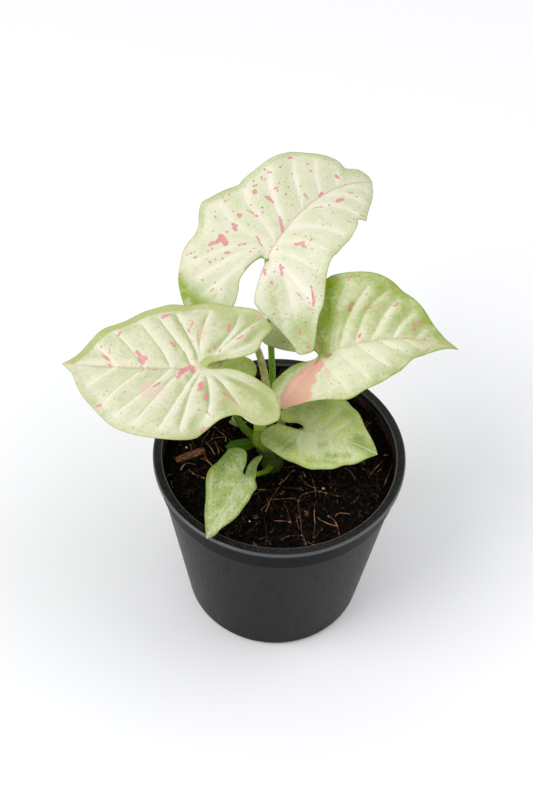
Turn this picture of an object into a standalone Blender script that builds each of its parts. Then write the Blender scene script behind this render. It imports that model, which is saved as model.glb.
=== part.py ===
"""A small syngonium in a plastic nursery pot.

Frame: origin at the middle of the pot's base, Z up, X to the right and -Y towards the front.
The sizes below are in millimetres, and MM turns them into Blender's metres where shapes are made.
Every leaf blade and every stalk is its own solid; the short stem stands in a plain hole in the soil.
"""

from math import cos, pi, radians, sin

import bmesh
import bpy
import numpy as np
from mathutils import Matrix, Vector, noise
from mathutils.bvhtree import BVHTree
from mathutils.geometry import delaunay_2d_cdt

MM = 0.001
GAP = 0.3               # clearance between pieces that meet
WELD = 0.0001           # how close two points of a mesh lie when they are one
SEED = 12

# Pot: radius and height, down the outside from the rim's flat flange, over the upper band, the step below
# it, the tapered wall and the base, then up the inside, with the ledge behind the step.
FLOOR = 2.0
POT_PROFILE = [
    (46.6, 85.0), (49.4, 85.0), (49.8, 84.8), (50.0, 84.2), (50.0, 82.9), (49.8, 82.6), (48.4, 82.6),
    (48.0, 82.2), (48.0, 73.5), (47.2, 72.9), (36.9, 2.0), (36.3, 0.6), (35.5, 0.0), (0.0, 0.0),
    (0.0, FLOOR), (34.3, FLOOR), (35.4, 3.2), (45.4, 73.2), (46.0, 74.0), (46.2, 84.5),
]
ROUND_STEPS = 64
HOLES = 6               # drain holes in a ring round the floor
HOLE_RADIUS = 3.5
HOLE_RING = 24.0
HOLE_SIDES = 20

# Soil
SOIL_TOP = 77.0
SOIL_RISE = 1.2         # how much higher it lies at the back
SOIL_AT_STEM = 76.3     # it is level round the stem, out to STEM_LEVEL from its middle
STEM_LEVEL = 6.0
STEM_BLEND = 6.0        # and reaches its own height this much further out
SOIL_SIDE = [(45.7, SOIL_TOP), (45.7, 74.3), (45.1, 73.4), (35.1, 3.6), (34.0, 2.3), (0.0, 2.3)]
SOIL_RINGS = (4, 8, 12, 16, 20, 24, 28, 32, 36, 40, 43.5)
CLODS = ((15, 1.4), (5, 0.8))   # how wide and how high the unevenness is
CHIPS = 16              # bark chips, no nearer to each other than CHIP_APART, within a ring
CHIP_APART = 9.0
CHIP_REACH = (14, 39)
CHIP_LEAST = (3, 2, 1.8)
CHIP_MOST = (6, 3.4, 2.4)
CHIP_JITTER = 0.2       # how far a chip's corners are pushed about, as a share of its thickness
CHIP_TILT = 0.3         # how much a chip may lean, in radians
CHIP_LIE = 0.1          # how high a chip's or a fibre's middle lies over the soil
LONG_CHIP_LIE = 0.3
LONG_CHIP = (-35.5, 1.4, 32.0, 12.5, 3.2, 2.2)      # x, y, angle, length, width, thickness
FIBRE_RADIUS = 0.45
FIBRES = [  # lying on the soil, x and y in mm
    [(22.2, -12), (15.8, -11), (11.4, -9.5), (8.2, -10), (5.4, -12.8), (4.6, -17), (5.3, -22.5),
     (5.2, -30.5), (7.5, -37.5)],
    [(8.3, 0), (11.4, -8.8), (13, -13)],
    [(10.6, -19), (10.4, -34)],
    [(11.8, -22), (15, -26), (19.5, -27.5)],
    [(23.5, 1.5), (27, -5)],
    [(-30, 14.5), (-26, 7.5)],
    [(-33, 7), (-28, 2.5)],
    [(-9.5, -10), (-3, -15.5), (-1.5, -20.5)],
    [(-1.5, -11), (-5.5, -16.5), (-10.5, -19)],
    [(20, 26), (26, 30), (28, 34)],
]

# Plant
BLADE = 0.7             # thickness of every leaf blade
MIDRIB_SPAN = (-60.0, 110.0, 1701)      # from behind the stalk to beyond the tip, and the steps between
SEAT = 9.0              # half the size of the block that cuts a stalk off under its blade
VEIN_WIDTH = 2.2        # half the width of the valley along a vein
FAN = (88, 114, 138, 160)       # angles of the veins that fan from the stalk into each lobe
VEIN_ANGLES = (58.0, 42.0)      # angle of a side vein at the stalk's end of the midrib and at the tip
VEIN_BEND = 10.0        # how much a vein turns towards the tip every 20 steps
EDGE_FLAT = 0.075       # the bulges fade towards the margin over this share of the length
EDGE_WAVE = 0.09        # and the waves along the margin fade inwards over this share
WAVES = (7, 12)         # waves round the margin: the longer ones and the shorter ones
SHORT_WAVES = 0.6       # how strong the shorter ones are
CLEAR = 0.62            # no inner point is nearer to a line than this share of the spacing
STEM = [  # the short thick stem: x, y, z, radius
    (-2.5, -0.5, 55.0, 4.2),
    (-2.5, -0.5, 78.0, 4.2),
    (-3.6, 1.4, 81.0, 4.1),
    (-5.8, 3.3, 84.5, 3.9),
    (-7.6, 3.8, 88.0, 3.5),
    (-8.0, 3.5, 91.0, 2.6),
]

# Each leaf: where its stalk joins the blade, and how the flat blade is turned about Z and then tipped
# towards a heading. Then the length of its midrib, how much the midrib arches down to the tip and behind
# the stalk and sweeps sideways, and how steeply each half folds up from the midrib and curls back down
# over 50 mm, left half first. Then the height of the puckers between the veins and of the waves at the
# margin, the mesh spacing, the places on the midrib where veins start, and the margin of each half on the
# flat blade: distance along the midrib, and out from it.
LEAVES = {
    "leaf_top": dict(
        at=(-7.7, 51.0, 141.0), turn=67, tip=17.7, towards=-89.4, length=78.3, arch=45, lobe_arch=25.8,
        sweep=-33.1, fold=(20.4, 9.8), curl=(15.5, 23.9), pucker=0.9, wave=0.8, spacing=3.4,
        laterals=(0, 6, 12, 20, 28.5, 37, 46, 55, 63),
        left=[(-1.5, 2.2), (-6.5, 4.5), (-13.5, 5.5), (-18, 4), (-24, 3), (-30, 5.5), (-34, 11), (-34, 18),
              (-31, 22), (-25, 26.5), (-18, 29), (-12.5, 30), (-6, 29), (-2, 29.5), (2.5, 32), (5, 32.5),
              (8.5, 30.5), (14, 28), (18, 25.5), (21, 25.5), (26.5, 25), (32.5, 24.5), (39.5, 23),
              (45.5, 21.5), (53.5, 17), (58, 13.5), (61, 10.5), (63, 7), (70, 6), (74, 4.5), (77, 2.5)],
        right=[(-1.5, -0.3), (-6.5, -0.5), (-17, -2.5), (-20.5, -5), (-24, -12), (-27, -19), (-29.5, -24.5),
               (-31.5, -27), (-31.5, -29), (-29.5, -31.5), (-27, -32.5), (-15.5, -29), (-10, -28.5),
               (-3.5, -26.5), (2.5, -24.5), (10, -23), (17, -23), (28.5, -23), (37, -21), (42, -18.5),
               (44.5, -19), (46, -20.5), (49.5, -19), (61.5, -12.5), (69.5, -7), (73, -4)],
    ),
    "leaf_left": dict(
        at=(-29.0, -1.6, 134.0), turn=182.4, tip=11.4, towards=-99.6, length=56.3, arch=18.7,
        lobe_arch=13.2, sweep=-18, fold=(7.6, 7.6), curl=(20.4, 20.1), pucker=0.9, wave=0.7, spacing=3.3,
        laterals=(0, 5.5, 11, 19, 27, 35, 43),
        left=[(-1.5, 0.3), (-5.5, 0.2), (-10, 0.4), (-16.5, 3), (-21, 6), (-25, 9.5), (-26.5, 12.5),
              (-27.5, 17.5), (-27, 21.5), (-25.5, 23), (-22, 24.5), (-18.5, 24.5), (-15.5, 23), (-13, 21),
              (-10, 21), (-5.5, 23), (-0.5, 26.5), (3, 29.5), (8, 30.5), (14, 30), (21, 29), (26.5, 27),
              (31.5, 24), (38.5, 18), (43.5, 13), (47, 8.5), (50.5, 4)],
        right=[(-1.5, -1.8), (-6.5, -2.8), (-12, -3.7), (-17.5, -5.5), (-20, -8), (-21.5, -12),
               (-23.5, -15), (-25, -17.5), (-23, -21), (-19, -25), (-10.5, -26.5), (-1.5, -27.5), (8, -28),
               (21, -26), (29.5, -23), (36.5, -19.5), (42.5, -15.5), (46.5, -10.5), (52, -3.5)],
    ),
    "leaf_right": dict(
        at=(14.4, 17.7, 122.0), turn=21.3, tip=16.4, towards=-156.1, length=57.7, arch=44.2,
        lobe_arch=20.5, sweep=-21.2, fold=(20.7, 16.5), curl=(12.5, 15.6), pucker=0.9, wave=0.7,
        spacing=3.3, laterals=(0, 5.5, 11, 19, 27, 35, 44),
        left=[(-1.5, 3.0), (-7.5, 5.5), (-14, 11), (-17.5, 16), (-15, 20), (-7, 23.5), (2, 26), (12, 30),
              (15, 30.5), (20.5, 30), (24.5, 29), (28.5, 27), (32.5, 24), (35.5, 20.5), (38.5, 17.5),
              (41.5, 13), (45.5, 7.5), (50.5, 3), (54, 1.3)],
        right=[(-1.5, -0.2), (-4.5, 0.2), (-9, 1.8), (-13, 1.8), (-18.5, 0), (-22, -2.5), (-23.5, -11),
               (-22, -17.5), (-17.5, -19.5), (-12.5, -21), (-7.5, -23.5), (-0.5, -27), (4.5, -28),
               (11, -27.5), (16, -25.5), (22.5, -22), (30.5, -16.5), (38.5, -9.5), (46, -5), (53, -1.3)],
    ),
    "leaf_small_right": dict(
        at=(9.4, 1.9, 97.0), turn=-15.2, tip=5.3, towards=-139.3, length=30.2, arch=19.8, lobe_arch=10.1,
        sweep=-4, fold=(4.2, 4.9), curl=(15.2, 15.1), pucker=0.5, wave=0.5, spacing=2.9,
        laterals=(0, 4.5, 9.5, 15, 21),
        left=[(-1, 1.1), (-3.5, 2), (-6.5, 1.5), (-9.5, 1.8), (-11.5, 5.5), (-8.5, 10), (2, 16),
              (10.5, 18.5), (15, 15.5), (19.5, 12), (23.5, 7.5), (27.5, 3.5)],
        right=[(-1, -0.8), (-5.5, -0.5), (-9.5, 0), (-12.5, -1), (-15, -4), (-15.5, -8), (-14, -11),
               (-11, -12.5), (-6, -15), (-1.5, -16.5), (4, -18), (9.5, -17), (15.5, -15), (19.5, -11.5),
               (23.5, -8), (27, -4)],
    ),
    "leaf_small_front": dict(
        at=(-13.3, -21.7, 95.5), turn=242, tip=6, towards=-95, length=28.4, arch=17.6, lobe_arch=8.8,
        sweep=0, fold=(42, 14), curl=(10, 10), pucker=0.5, wave=0.4, spacing=2.7,
        laterals=(0, 4.5, 9.5, 15, 20.5),
        left=[(-1.5, -0.6), (-4.5, -2.2), (-6.5, -2.9), (-9, -2.6), (-11, -0.6), (-10.8, 2.4), (-7, 3),
              (-4.5, 3.5), (0.5, 7), (5, 10.5), (9, 11.5), (13, 11), (17, 9.5), (21, 8), (24, 5.5),
              (26.5, 3.5)],
        right=[(-1.5, -1.3), (-5, -2.1), (-7.5, -3.2), (-9.5, -4.5), (-10, -6.5), (-9, -9), (-6.5, -11),
               (-4.5, -11), (-0.5, -11.5), (4, -12.5), (8, -12), (14, -8.5), (20, -5.5), (24, -3)],
    ),
    "leaf_behind": dict(
        at=(-20.4, 10.5, 107.0), turn=200, tip=5, towards=-100, length=33, arch=25, lobe_arch=12,
        sweep=0, fold=(28, 10), curl=(10, 18), pucker=0.5, wave=0.5, spacing=3.0,
        laterals=(0, 5, 10.5, 16.5, 23),
        left=[(-1, 1), (-4, 1.7), (-7, 1.4), (-10, 1.8), (-11.5, 4.5), (-9, 8.5), (1.5, 13), (10, 15),
              (16, 13), (21.5, 10), (26, 6.5), (30, 3)],
        right=[(-1, -0.7), (-4.5, -0.9), (-8, -1.6), (-11, -3.5), (-13.5, -7), (-13.5, -11), (-11, -13.5),
               (-7, -14.5), (-1.5, -15.5), (4.5, -15.5), (10.5, -14.5), (17, -12.5), (21.5, -9.5),
               (26, -7), (30, -3.5)],
    ),
    "leaf_young": dict(
        at=(-8.6, 3.4, 85.6), turn=180, tip=4, towards=180, length=13.5, arch=22, lobe_arch=0, sweep=0,
        fold=(8, 8), curl=(650, 650), pucker=0, wave=0, spacing=1.5, laterals=(),
        left=[(0.5, 1.4), (3, 3), (6, 4), (9, 4.1), (11.8, 2.8)],
        right=[(0.5, -1.4), (3, -3), (6, -4), (9, -4.1), (11.8, -2.8)],
    ),
}

# Each stalk: its leaf, and x, y, z and radius from inside the stem to the blade, under which it is cut off.
STALKS = {
    "petiole_top": ("leaf_top", [
        (-6.2, 4.2, 85, 1.6), (-4.9, 8.8, 89.5, 1.5), (-3.9, 13.5, 95, 1.35), (-3.6, 19.5, 101, 1.3),
        (-4.9, 31, 113, 1.25), (-6.2, 39.3, 127, 1.2), (-7.3, 46.7, 136, 1.15), (-7.7, 51, 142, 1.1)]),
    "petiole_left": ("leaf_left", [
        (-8, 4.4, 89.2, 1.5), (-7.8, 9.5, 94, 1.45), (-6.2, 16.8, 102, 1.35), (-8.1, 22, 111, 1.3),
        (-11, 21.7, 122, 1.25), (-15.5, 14.1, 129.5, 1.2), (-22.5, 4.6, 131.3, 1.15),
        (-27, -0.2, 132.4, 1.1), (-29.6, -2.2, 134.6, 1.05)]),
    "petiole_right": ("leaf_right", [
        (-5.2, 3.8, 83.6, 1.6), (-1.5, 8, 87.5, 1.5), (2.5, 14, 93, 1.35), (5.5, 18.5, 99.5, 1.3),
        (9.2, 19.8, 108, 1.25), (12.8, 18.9, 117, 1.2), (14.5, 17.6, 123, 1.1)]),
    "petiole_small_right": ("leaf_small_right", [
        (-6.2, 2.8, 86.2, 1.2), (-2, 1.6, 88, 1.1), (2.5, 2.2, 91, 1), (7, 2.8, 94.3, 0.9),
        (9.8, 1.9, 97.8, 0.85)]),
    "petiole_small_front": ("leaf_small_front", [
        (-2.9, -2, 79.2, 1.3), (-4.4, -6.4, 80.8, 1.15), (-7, -10.6, 84, 1), (-9.8, -15, 88.3, 0.95),
        (-12, -18.8, 92.2, 0.9), (-13.5, -22, 96.5, 0.85)]),
    "petiole_behind": ("leaf_behind", [
        (-7.4, 3.7, 87.2, 1.9), (-11.6, 4.7, 89.4, 1.8), (-14.8, 5.4, 93, 1.6), (-17.6, 6.6, 98.2, 1.3),
        (-19.6, 8.9, 103.6, 1.1), (-20.5, 10.6, 107.8, 1)]),
}


# Helpers

def clear_scene():
    for old in list(bpy.data.objects):
        bpy.data.objects.remove(old, do_unlink=True)


def new_collection(name, hidden=False):
    made = bpy.data.collections.new(name)
    bpy.context.scene.collection.children.link(made)
    made.hide_render = hidden
    return made


def material(name, colour, roughness, coat=0.0):
    made = bpy.data.materials.new(name)
    made.use_nodes = True
    shader = made.node_tree.nodes["Principled BSDF"]
    shader.inputs["Base Color"].default_value = (*colour, 1.0)
    shader.inputs["Roughness"].default_value = roughness
    shader.inputs["Metallic"].default_value = 0.0
    shader.inputs["Coat Weight"].default_value = coat
    made.diffuse_color = (*colour, 1.0)
    return made


def put(name, data, collection, slot=None):
    obj = bpy.data.objects.new(name, data)
    collection.objects.link(obj)
    if slot is not None:
        data.materials.append(slot)
    return obj


def finish(work, name):
    """Turns a bmesh into a mesh with its faces pointing outwards."""
    bmesh.ops.recalc_face_normals(work, faces=work.faces)
    mesh = bpy.data.meshes.new(name)
    work.to_mesh(mesh)
    work.free()
    return mesh


def as_cutter(obj):
    obj.hide_render = True
    obj.display_type = "WIRE"
    return obj


def settle(obj, sharp=40.0):
    """Applies the object's modifiers and shades it smooth, with edges sharper than the angle kept."""
    bpy.context.view_layer.update()
    graph = bpy.context.evaluated_depsgraph_get()
    mesh = bpy.data.meshes.new_from_object(obj.evaluated_get(graph))
    mesh.name = obj.name
    obj.modifiers.clear()
    obj.data = mesh
    mesh.shade_smooth()
    mesh.set_sharp_from_angle(angle=radians(sharp))
    return obj


def boolean(obj, operation, other=None, group=None, solver="EXACT"):
    cut = obj.modifiers.new(operation.lower(), "BOOLEAN")
    cut.operation = operation
    cut.solver = solver
    if group is None:
        cut.object = other
    else:
        cut.operand_type = "COLLECTION"
        cut.collection = group


def add_post(work, x, y, low, high, radius):
    """An upright cylinder, for a round hole."""
    place = Matrix.Translation(Vector((x, y, (low + high) / 2)) * MM)
    bmesh.ops.create_cone(work, cap_ends=True, segments=HOLE_SIDES, radius1=radius * MM,
                          radius2=radius * MM, depth=(high - low) * MM, matrix=place)


def turned_profile(name, profile, collection, slot=None):
    """A closed outline of (radius, height), top first on its outer side, turned about Z."""
    mesh = bpy.data.meshes.new(name)
    points = [(r * MM, 0.0, z * MM) for r, z in profile]
    edges = []
    for here in range(len(points)):
        there = (here + 1) % len(points)
        if points[here][0] > 0 or points[there][0] > 0:
            edges.append((here, there))
    mesh.from_pydata(points, edges, [])
    obj = put(name, mesh, collection, slot)
    screw = obj.modifiers.new("turn", "SCREW")
    screw.steps = ROUND_STEPS
    screw.render_steps = ROUND_STEPS
    screw.use_merge_vertices = True
    screw.merge_threshold = 0.0001
    screw.use_smooth_shade = True
    return obj


def smooth_path(points, per_span):
    """More points between the given ones, on a Catmull-Rom curve through all of them."""
    p = np.asarray(points, float)
    p = np.vstack([2 * p[0] - p[1], p, 2 * p[-1] - p[-2]])
    out = []
    for a, b, c, d in zip(p[:-3], p[1:-2], p[2:-1], p[3:]):
        for k in range(per_span):
            t = k / per_span
            out.append(0.5 * (2 * b + (c - a) * t + (2 * a - 5 * b + 4 * c - d) * t * t
                              + (3 * b - a - 3 * c + d) * t ** 3))
    out.append(p[-2])
    return np.array(out)


def tube(name, points, collection, slot=None, grow=0.0, sides=2):
    """A round tube along (x, y, z, radius) points, as a mesh with its origin at the first point."""
    curve = bpy.data.curves.new(name, "CURVE")
    curve.dimensions = "3D"
    curve.bevel_depth = MM
    curve.bevel_resolution = sides
    curve.use_fill_caps = True
    spline = curve.splines.new("POLY")
    spline.points.add(len(points) - 1)
    start = Vector(points[0][:3]) * MM
    for point, (x, y, z, radius) in zip(spline.points, points):
        point.co = (*(Vector((x, y, z)) * MM - start), 1.0)
        point.radius = radius + grow
    guide = put(name + "_guide", curve, collection)
    bpy.context.view_layer.update()
    mesh = bpy.data.meshes.new_from_object(guide.evaluated_get(bpy.context.evaluated_depsgraph_get()))
    bpy.data.objects.remove(guide, do_unlink=True)
    bpy.data.curves.remove(curve)
    work = bmesh.new()
    work.from_mesh(mesh)
    bpy.data.meshes.remove(mesh)
    bmesh.ops.remove_doubles(work, verts=work.verts, dist=WELD * MM)
    obj = put(name, finish(work, name), collection, slot)
    obj.location = start
    return obj


# Pot and soil

def make_pot(home, cutters, slot):
    pot = turned_profile("pot", POT_PROFILE, home, slot)
    work = bmesh.new()
    for k in range(HOLES):
        angle = 2 * pi * (k + 0.5) / HOLES
        add_post(work, HOLE_RING * cos(angle), HOLE_RING * sin(angle), -FLOOR, 2 * FLOOR, HOLE_RADIUS)
    boolean(pot, "DIFFERENCE", as_cutter(put("drain_holes", finish(work, "drain_holes"), cutters)))
    return settle(pot)


def soil_height(x, y):
    """Height in mm of the soil's top at x and y in mm: a rise to the back, clods, level round the stem."""
    height = SOIL_TOP + SOIL_RISE * max(y, 0.0) / SOIL_SIDE[0][0]
    for reach, rise in CLODS:
        height += rise * noise.noise(Vector((x / reach, y / reach, reach)))
    from_stem = Vector((x - STEM[0][0], y - STEM[0][1])).length
    near = min(max((from_stem - STEM_LEVEL) / STEM_BLEND, 0.0), 1.0)
    return height * near + SOIL_AT_STEM * (1 - near)


def add_chip(work, rng, place, size):
    """One angular chip of bark: a box with its corners pushed about."""
    made = bmesh.ops.create_cube(work, size=1.0, matrix=place @ Matrix.Diagonal((*size, 1.0)))
    for vert in made["verts"]:
        vert.co += Vector(rng.uniform(-1, 1, 3)) * CHIP_JITTER * min(size)


def soil_repeats(lie, home):
    """The bark chips and coir fibres, sunk into the soil, whose top is at lie(x, y). All sizes in mm."""
    rng = np.random.default_rng(SEED)
    chips = bmesh.new()
    x, y, angle, *size = LONG_CHIP
    place = Matrix.Translation(Vector((x, y, lie(x, y) + LONG_CHIP_LIE)) * MM)
    place @= Matrix.Rotation(radians(angle), 4, "Z")
    add_chip(chips, rng, place, np.array(size) * MM)
    taken = [(x, y)]
    while len(taken) < CHIPS:
        angle, reach = rng.uniform(0, 2 * pi), rng.uniform(*CHIP_REACH)
        x, y = reach * cos(angle), reach * sin(angle)
        if min((x - a) ** 2 + (y - b) ** 2 for a, b in taken) < CHIP_APART ** 2:
            continue
        taken.append((x, y))
        place = Matrix.Translation(Vector((x, y, lie(x, y) + CHIP_LIE)) * MM)
        place @= Matrix.Rotation(rng.uniform(0, pi), 4, "Z")
        place @= Matrix.Rotation(rng.uniform(-CHIP_TILT, CHIP_TILT), 4, "X")
        add_chip(chips, rng, place, rng.uniform(CHIP_LEAST, CHIP_MOST) * MM)
    put("soil_chips", finish(chips, "soil_chips"), home)
    for k, fibre in enumerate(FIBRES):
        points = [(x, y, lie(x, y) + CHIP_LIE, FIBRE_RADIUS) for x, y in smooth_path(fibre, 3)]
        tube(f"soil_fibre_{k}", points, home, sides=0)


def make_soil(home, cutters, slot):
    top = [(0.0, SOIL_TOP)] + [(ring, SOIL_TOP) for ring in SOIL_RINGS]
    soil = settle(turned_profile("soil", top + SOIL_SIDE, home, slot))
    for vert in soil.data.vertices:
        if vert.co.z > (SOIL_TOP - 0.1) * MM:
            vert.co.z = soil_height(vert.co.x / MM, vert.co.y / MM) * MM
    surface = BVHTree.FromPolygons([v.co for v in soil.data.vertices],
                                   [tuple(p.vertices) for p in soil.data.polygons])

    def lie(x, y):
        return surface.ray_cast(Vector((x * MM, y * MM, 1.0)), Vector((0, 0, -1)))[0].z / MM

    repeats = new_collection("soil_repeats", hidden=True)
    soil_repeats(lie, repeats)
    boolean(soil, "UNION", group=repeats, solver="MANIFOLD")
    settle(soil)
    for piece in list(repeats.objects):
        bpy.data.objects.remove(piece, do_unlink=True)

    x, y, bottom, radius = STEM[0]
    work = bmesh.new()
    add_post(work, x, y, bottom - GAP, STEM[-1][2], radius + 1.3 * GAP)
    boolean(soil, "DIFFERENCE", as_cutter(put("stem_hole", finish(work, "stem_hole"), cutters)))
    return settle(soil, sharp=60)


# Leaf blades

def bend(leaf, u, w, side):
    """Where the flat point u along the midrib and w out from it lands, in the blade's own frame."""
    along = np.linspace(*MIDRIB_SPAN)
    pitch = np.radians(np.where(along > 0, -leaf["arch"], -leaf["lobe_arch"]) * along / leaf["length"])
    yaw = np.radians(leaf["sweep"]) * np.maximum(along, 0) / leaf["length"]
    tangent = np.stack([np.cos(pitch) * np.cos(yaw), np.cos(pitch) * np.sin(yaw), np.sin(pitch)], -1)
    spine = np.vstack([np.zeros(3), np.cumsum((tangent[1:] + tangent[:-1]) / 2, 0)]) * (along[1] - along[0])
    spine -= [np.interp(0, along, spine[:, i]) for i in range(3)]
    p = np.stack([np.interp(u, along, spine[:, i]) for i in range(3)], -1)
    t = np.stack([np.interp(u, along, tangent[:, i]) for i in range(3)], -1)
    heading = np.interp(u, along, yaw)
    left = np.stack([-np.sin(heading), np.cos(heading), 0 * heading], -1)
    up = np.cross(t, left)
    fold = radians(leaf["fold"][side < 0])
    curl = radians(leaf["curl"][side < 0]) / 50.0
    out = (sin(fold) - np.sin(fold - curl * w)) / curl
    rise = (np.cos(fold - curl * w) - cos(fold)) / curl
    return p + left * (side * out)[..., None] + up * rise[..., None]


def distance(points, path):
    """How far each flat point lies from a polyline."""
    a, b = path[:-1], path[1:]
    ab = b - a
    t = np.einsum("pij,ij->pi", points[:, None] - a, ab) / np.maximum((ab ** 2).sum(1), 1e-12)
    near = a + np.clip(t, 0, 1)[..., None] * ab
    return np.sqrt(((points[:, None] - near) ** 2).sum(-1)).min(1)


def even(path, spacing):
    """The path with its points evenly spread, at about this spacing."""
    length = np.concatenate([[0], np.cumsum(np.sqrt((np.diff(path, axis=0) ** 2).sum(1)))])
    count = max(2, int(round(length[-1] / spacing)) + 1)
    s = np.linspace(0, length[-1], count)
    return np.stack([np.interp(s, length, path[:, 0]), np.interp(s, length, path[:, 1])], -1)


def veins_of(leaf, side, margin):
    """The side veins of one half: from the midrib towards the tip, and a fan from the stalk into the
    lobe."""
    first, last = VEIN_ANGLES
    starts = [(u, first + (last - first) * u / leaf["length"]) for u in leaf["laterals"]]
    if leaf["laterals"]:
        starts += [(0.0, angle) for angle in FAN]
    inset = 0.052 * leaf["length"] + 1.0
    veins = []
    for u, angle in starts:
        point = np.array([u, 0.0])
        path = [point]
        while len(path) < 60:
            turn = radians(angle - VEIN_BEND * len(path) / 20.0)
            point = point + leaf["spacing"] * 0.5 * np.array([cos(turn), side * sin(turn)])
            if len(path) > 2 and (distance(point[None], margin)[0] < inset or point[1] * side < 0.8):
                break
            path.append(point)
        if len(path) > 4:
            veins.append(np.array(path))
    return veins


def half_blade(leaf, side):
    """One half of the blade: its points in the blade's frame and its triangles."""
    spacing = leaf["spacing"]
    end = (leaf["length"], 0.0)
    back = (leaf["left"][0][0] * 0.6, 0.0)
    rough = smooth_path([back] + list(leaf["left" if side > 0 else "right"]) + [end], 4)
    margin = even(rough, spacing)
    stops = np.array(sorted({back[0], *leaf["laterals"], leaf["length"]}))
    spine = [stops[:1]]
    for a, b in zip(stops[:-1], stops[1:]):
        spine.append(np.linspace(a, b, max(1, int(round((b - a) / spacing))) + 1)[1:])
    spine = np.concatenate(spine)
    spine = np.stack([spine, 0 * spine], -1)
    outline = np.vstack([margin, spine[-2:0:-1]])
    veins = veins_of(leaf, side, margin)

    low, high = outline.min(0), outline.max(0)
    rows = np.arange(low[1], high[1], spacing * sin(pi / 3))
    grid = [(x + (k % 2) * spacing / 2, y) for k, y in enumerate(rows)
            for x in np.arange(low[0], high[0], spacing)]
    grid = np.array(grid)
    keep = distance(grid, np.vstack([outline, outline[:1]])) > CLEAR * spacing
    for vein in veins:
        keep &= distance(grid, vein) > CLEAR * spacing
    grid = grid[keep]

    points = [Vector(p) for p in outline]
    edges = []
    for vein in veins:
        line = even(vein, spacing)
        first = len(points)
        points += [Vector(p) for p in line]
        edges += [(first + k, first + k + 1) for k in range(len(line) - 1)]
    points += [Vector(p) for p in grid]
    flat, _, faces, *_ = delaunay_2d_cdt(points, edges, [list(range(len(outline)))], 1, 0.25)
    flat = np.array([tuple(p) for p in flat])
    faces = [f for f in faces if len(f) == 3]

    to_margin = distance(flat, margin)
    valley = np.abs(flat[:, 1])
    for vein in veins:
        valley = np.minimum(valley, distance(flat, vein))
    inner = np.clip(to_margin / (EDGE_FLAT * leaf["length"]), 0, 1)
    inner = inner * inner * (3 - 2 * inner)
    bulge = leaf["pucker"] * (1 - np.exp(-(valley / VEIN_WIDTH) ** 2)) * inner
    around = np.arctan2(flat[:, 1], flat[:, 0] - 0.2 * leaf["length"])
    ripple = np.sin(WAVES[0] * around + 1.3 * leaf["length"])
    ripple += SHORT_WAVES * np.sin(WAVES[1] * around + leaf["turn"])
    fade = np.exp(-to_margin / (EDGE_WAVE * leaf["length"])) * np.clip(np.abs(flat[:, 1]) / 6, 0, 1)
    bulge += leaf["wave"] * ripple * fade

    w = side * flat[:, 1]
    step = 0.05
    here = bend(leaf, flat[:, 0], w, side)
    ahead = bend(leaf, flat[:, 0] + step, w, side) - here
    aside = (bend(leaf, flat[:, 0], w + step, side) - here) * side
    normal = np.cross(ahead, aside)
    normal /= np.linalg.norm(normal, axis=1)[:, None]
    return here + normal * bulge[:, None], faces


def pose(leaf):
    azimuth = radians(leaf["towards"])
    axis = Vector((0, 0, 1)).cross(Vector((cos(azimuth), sin(azimuth), 0)))
    return Matrix.Rotation(radians(leaf["tip"]), 4, axis) @ Matrix.Rotation(radians(leaf["turn"]), 4, "Z")


def make_leaf(name, home, slot):
    leaf = LEAVES[name]
    work = bmesh.new()
    for side in (1, -1):
        points, faces = half_blade(leaf, side)
        verts = [work.verts.new(p * MM) for p in points]
        for a, b, c in faces:
            work.faces.new((verts[a], verts[b], verts[c]))
    bmesh.ops.remove_doubles(work, verts=work.verts, dist=0.02 * MM)
    for face in work.faces:
        face.normal_update()
        if face.normal.z < 0:
            face.normal_flip()
    mesh = bpy.data.meshes.new(name)
    work.to_mesh(mesh)
    work.free()
    obj = put(name, mesh, home, slot)
    obj.location = Vector(leaf["at"]) * MM
    obj.rotation_euler = pose(leaf).to_euler()
    thick = obj.modifiers.new("thickness", "SOLIDIFY")
    thick.thickness = BLADE * MM
    thick.offset = -1.0
    thick.use_even_offset = True
    return settle(obj, sharp=70)


# Stem and stalks

def make_stem(name, collection, slot=None, grow=0.0):
    path = STEM[:1] + [tuple(point) for point in smooth_path(STEM[1:], 2)]
    return tube(name, path, collection, slot, grow=grow, sides=4)


def make_stalk(name, home, cutters, slot, round_stem):
    leaf_name, path = STALKS[name]
    leaf = LEAVES[leaf_name]
    stalk = tube(name, smooth_path(path, 3), home, slot, sides=3)
    work = bmesh.new()
    bmesh.ops.create_cube(work, size=2 * SEAT * MM)
    seat = as_cutter(put(name + "_seat", finish(work, name + "_seat"), cutters))
    turn = pose(leaf)
    up = turn.to_3x3() @ Vector((0, 0, 1))
    seat.rotation_euler = turn.to_euler()
    seat.location = (Vector(leaf["at"]) + up * (SEAT - BLADE - GAP)) * MM
    boolean(stalk, "DIFFERENCE", seat)
    boolean(stalk, "DIFFERENCE", round_stem)
    return settle(stalk)


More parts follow.
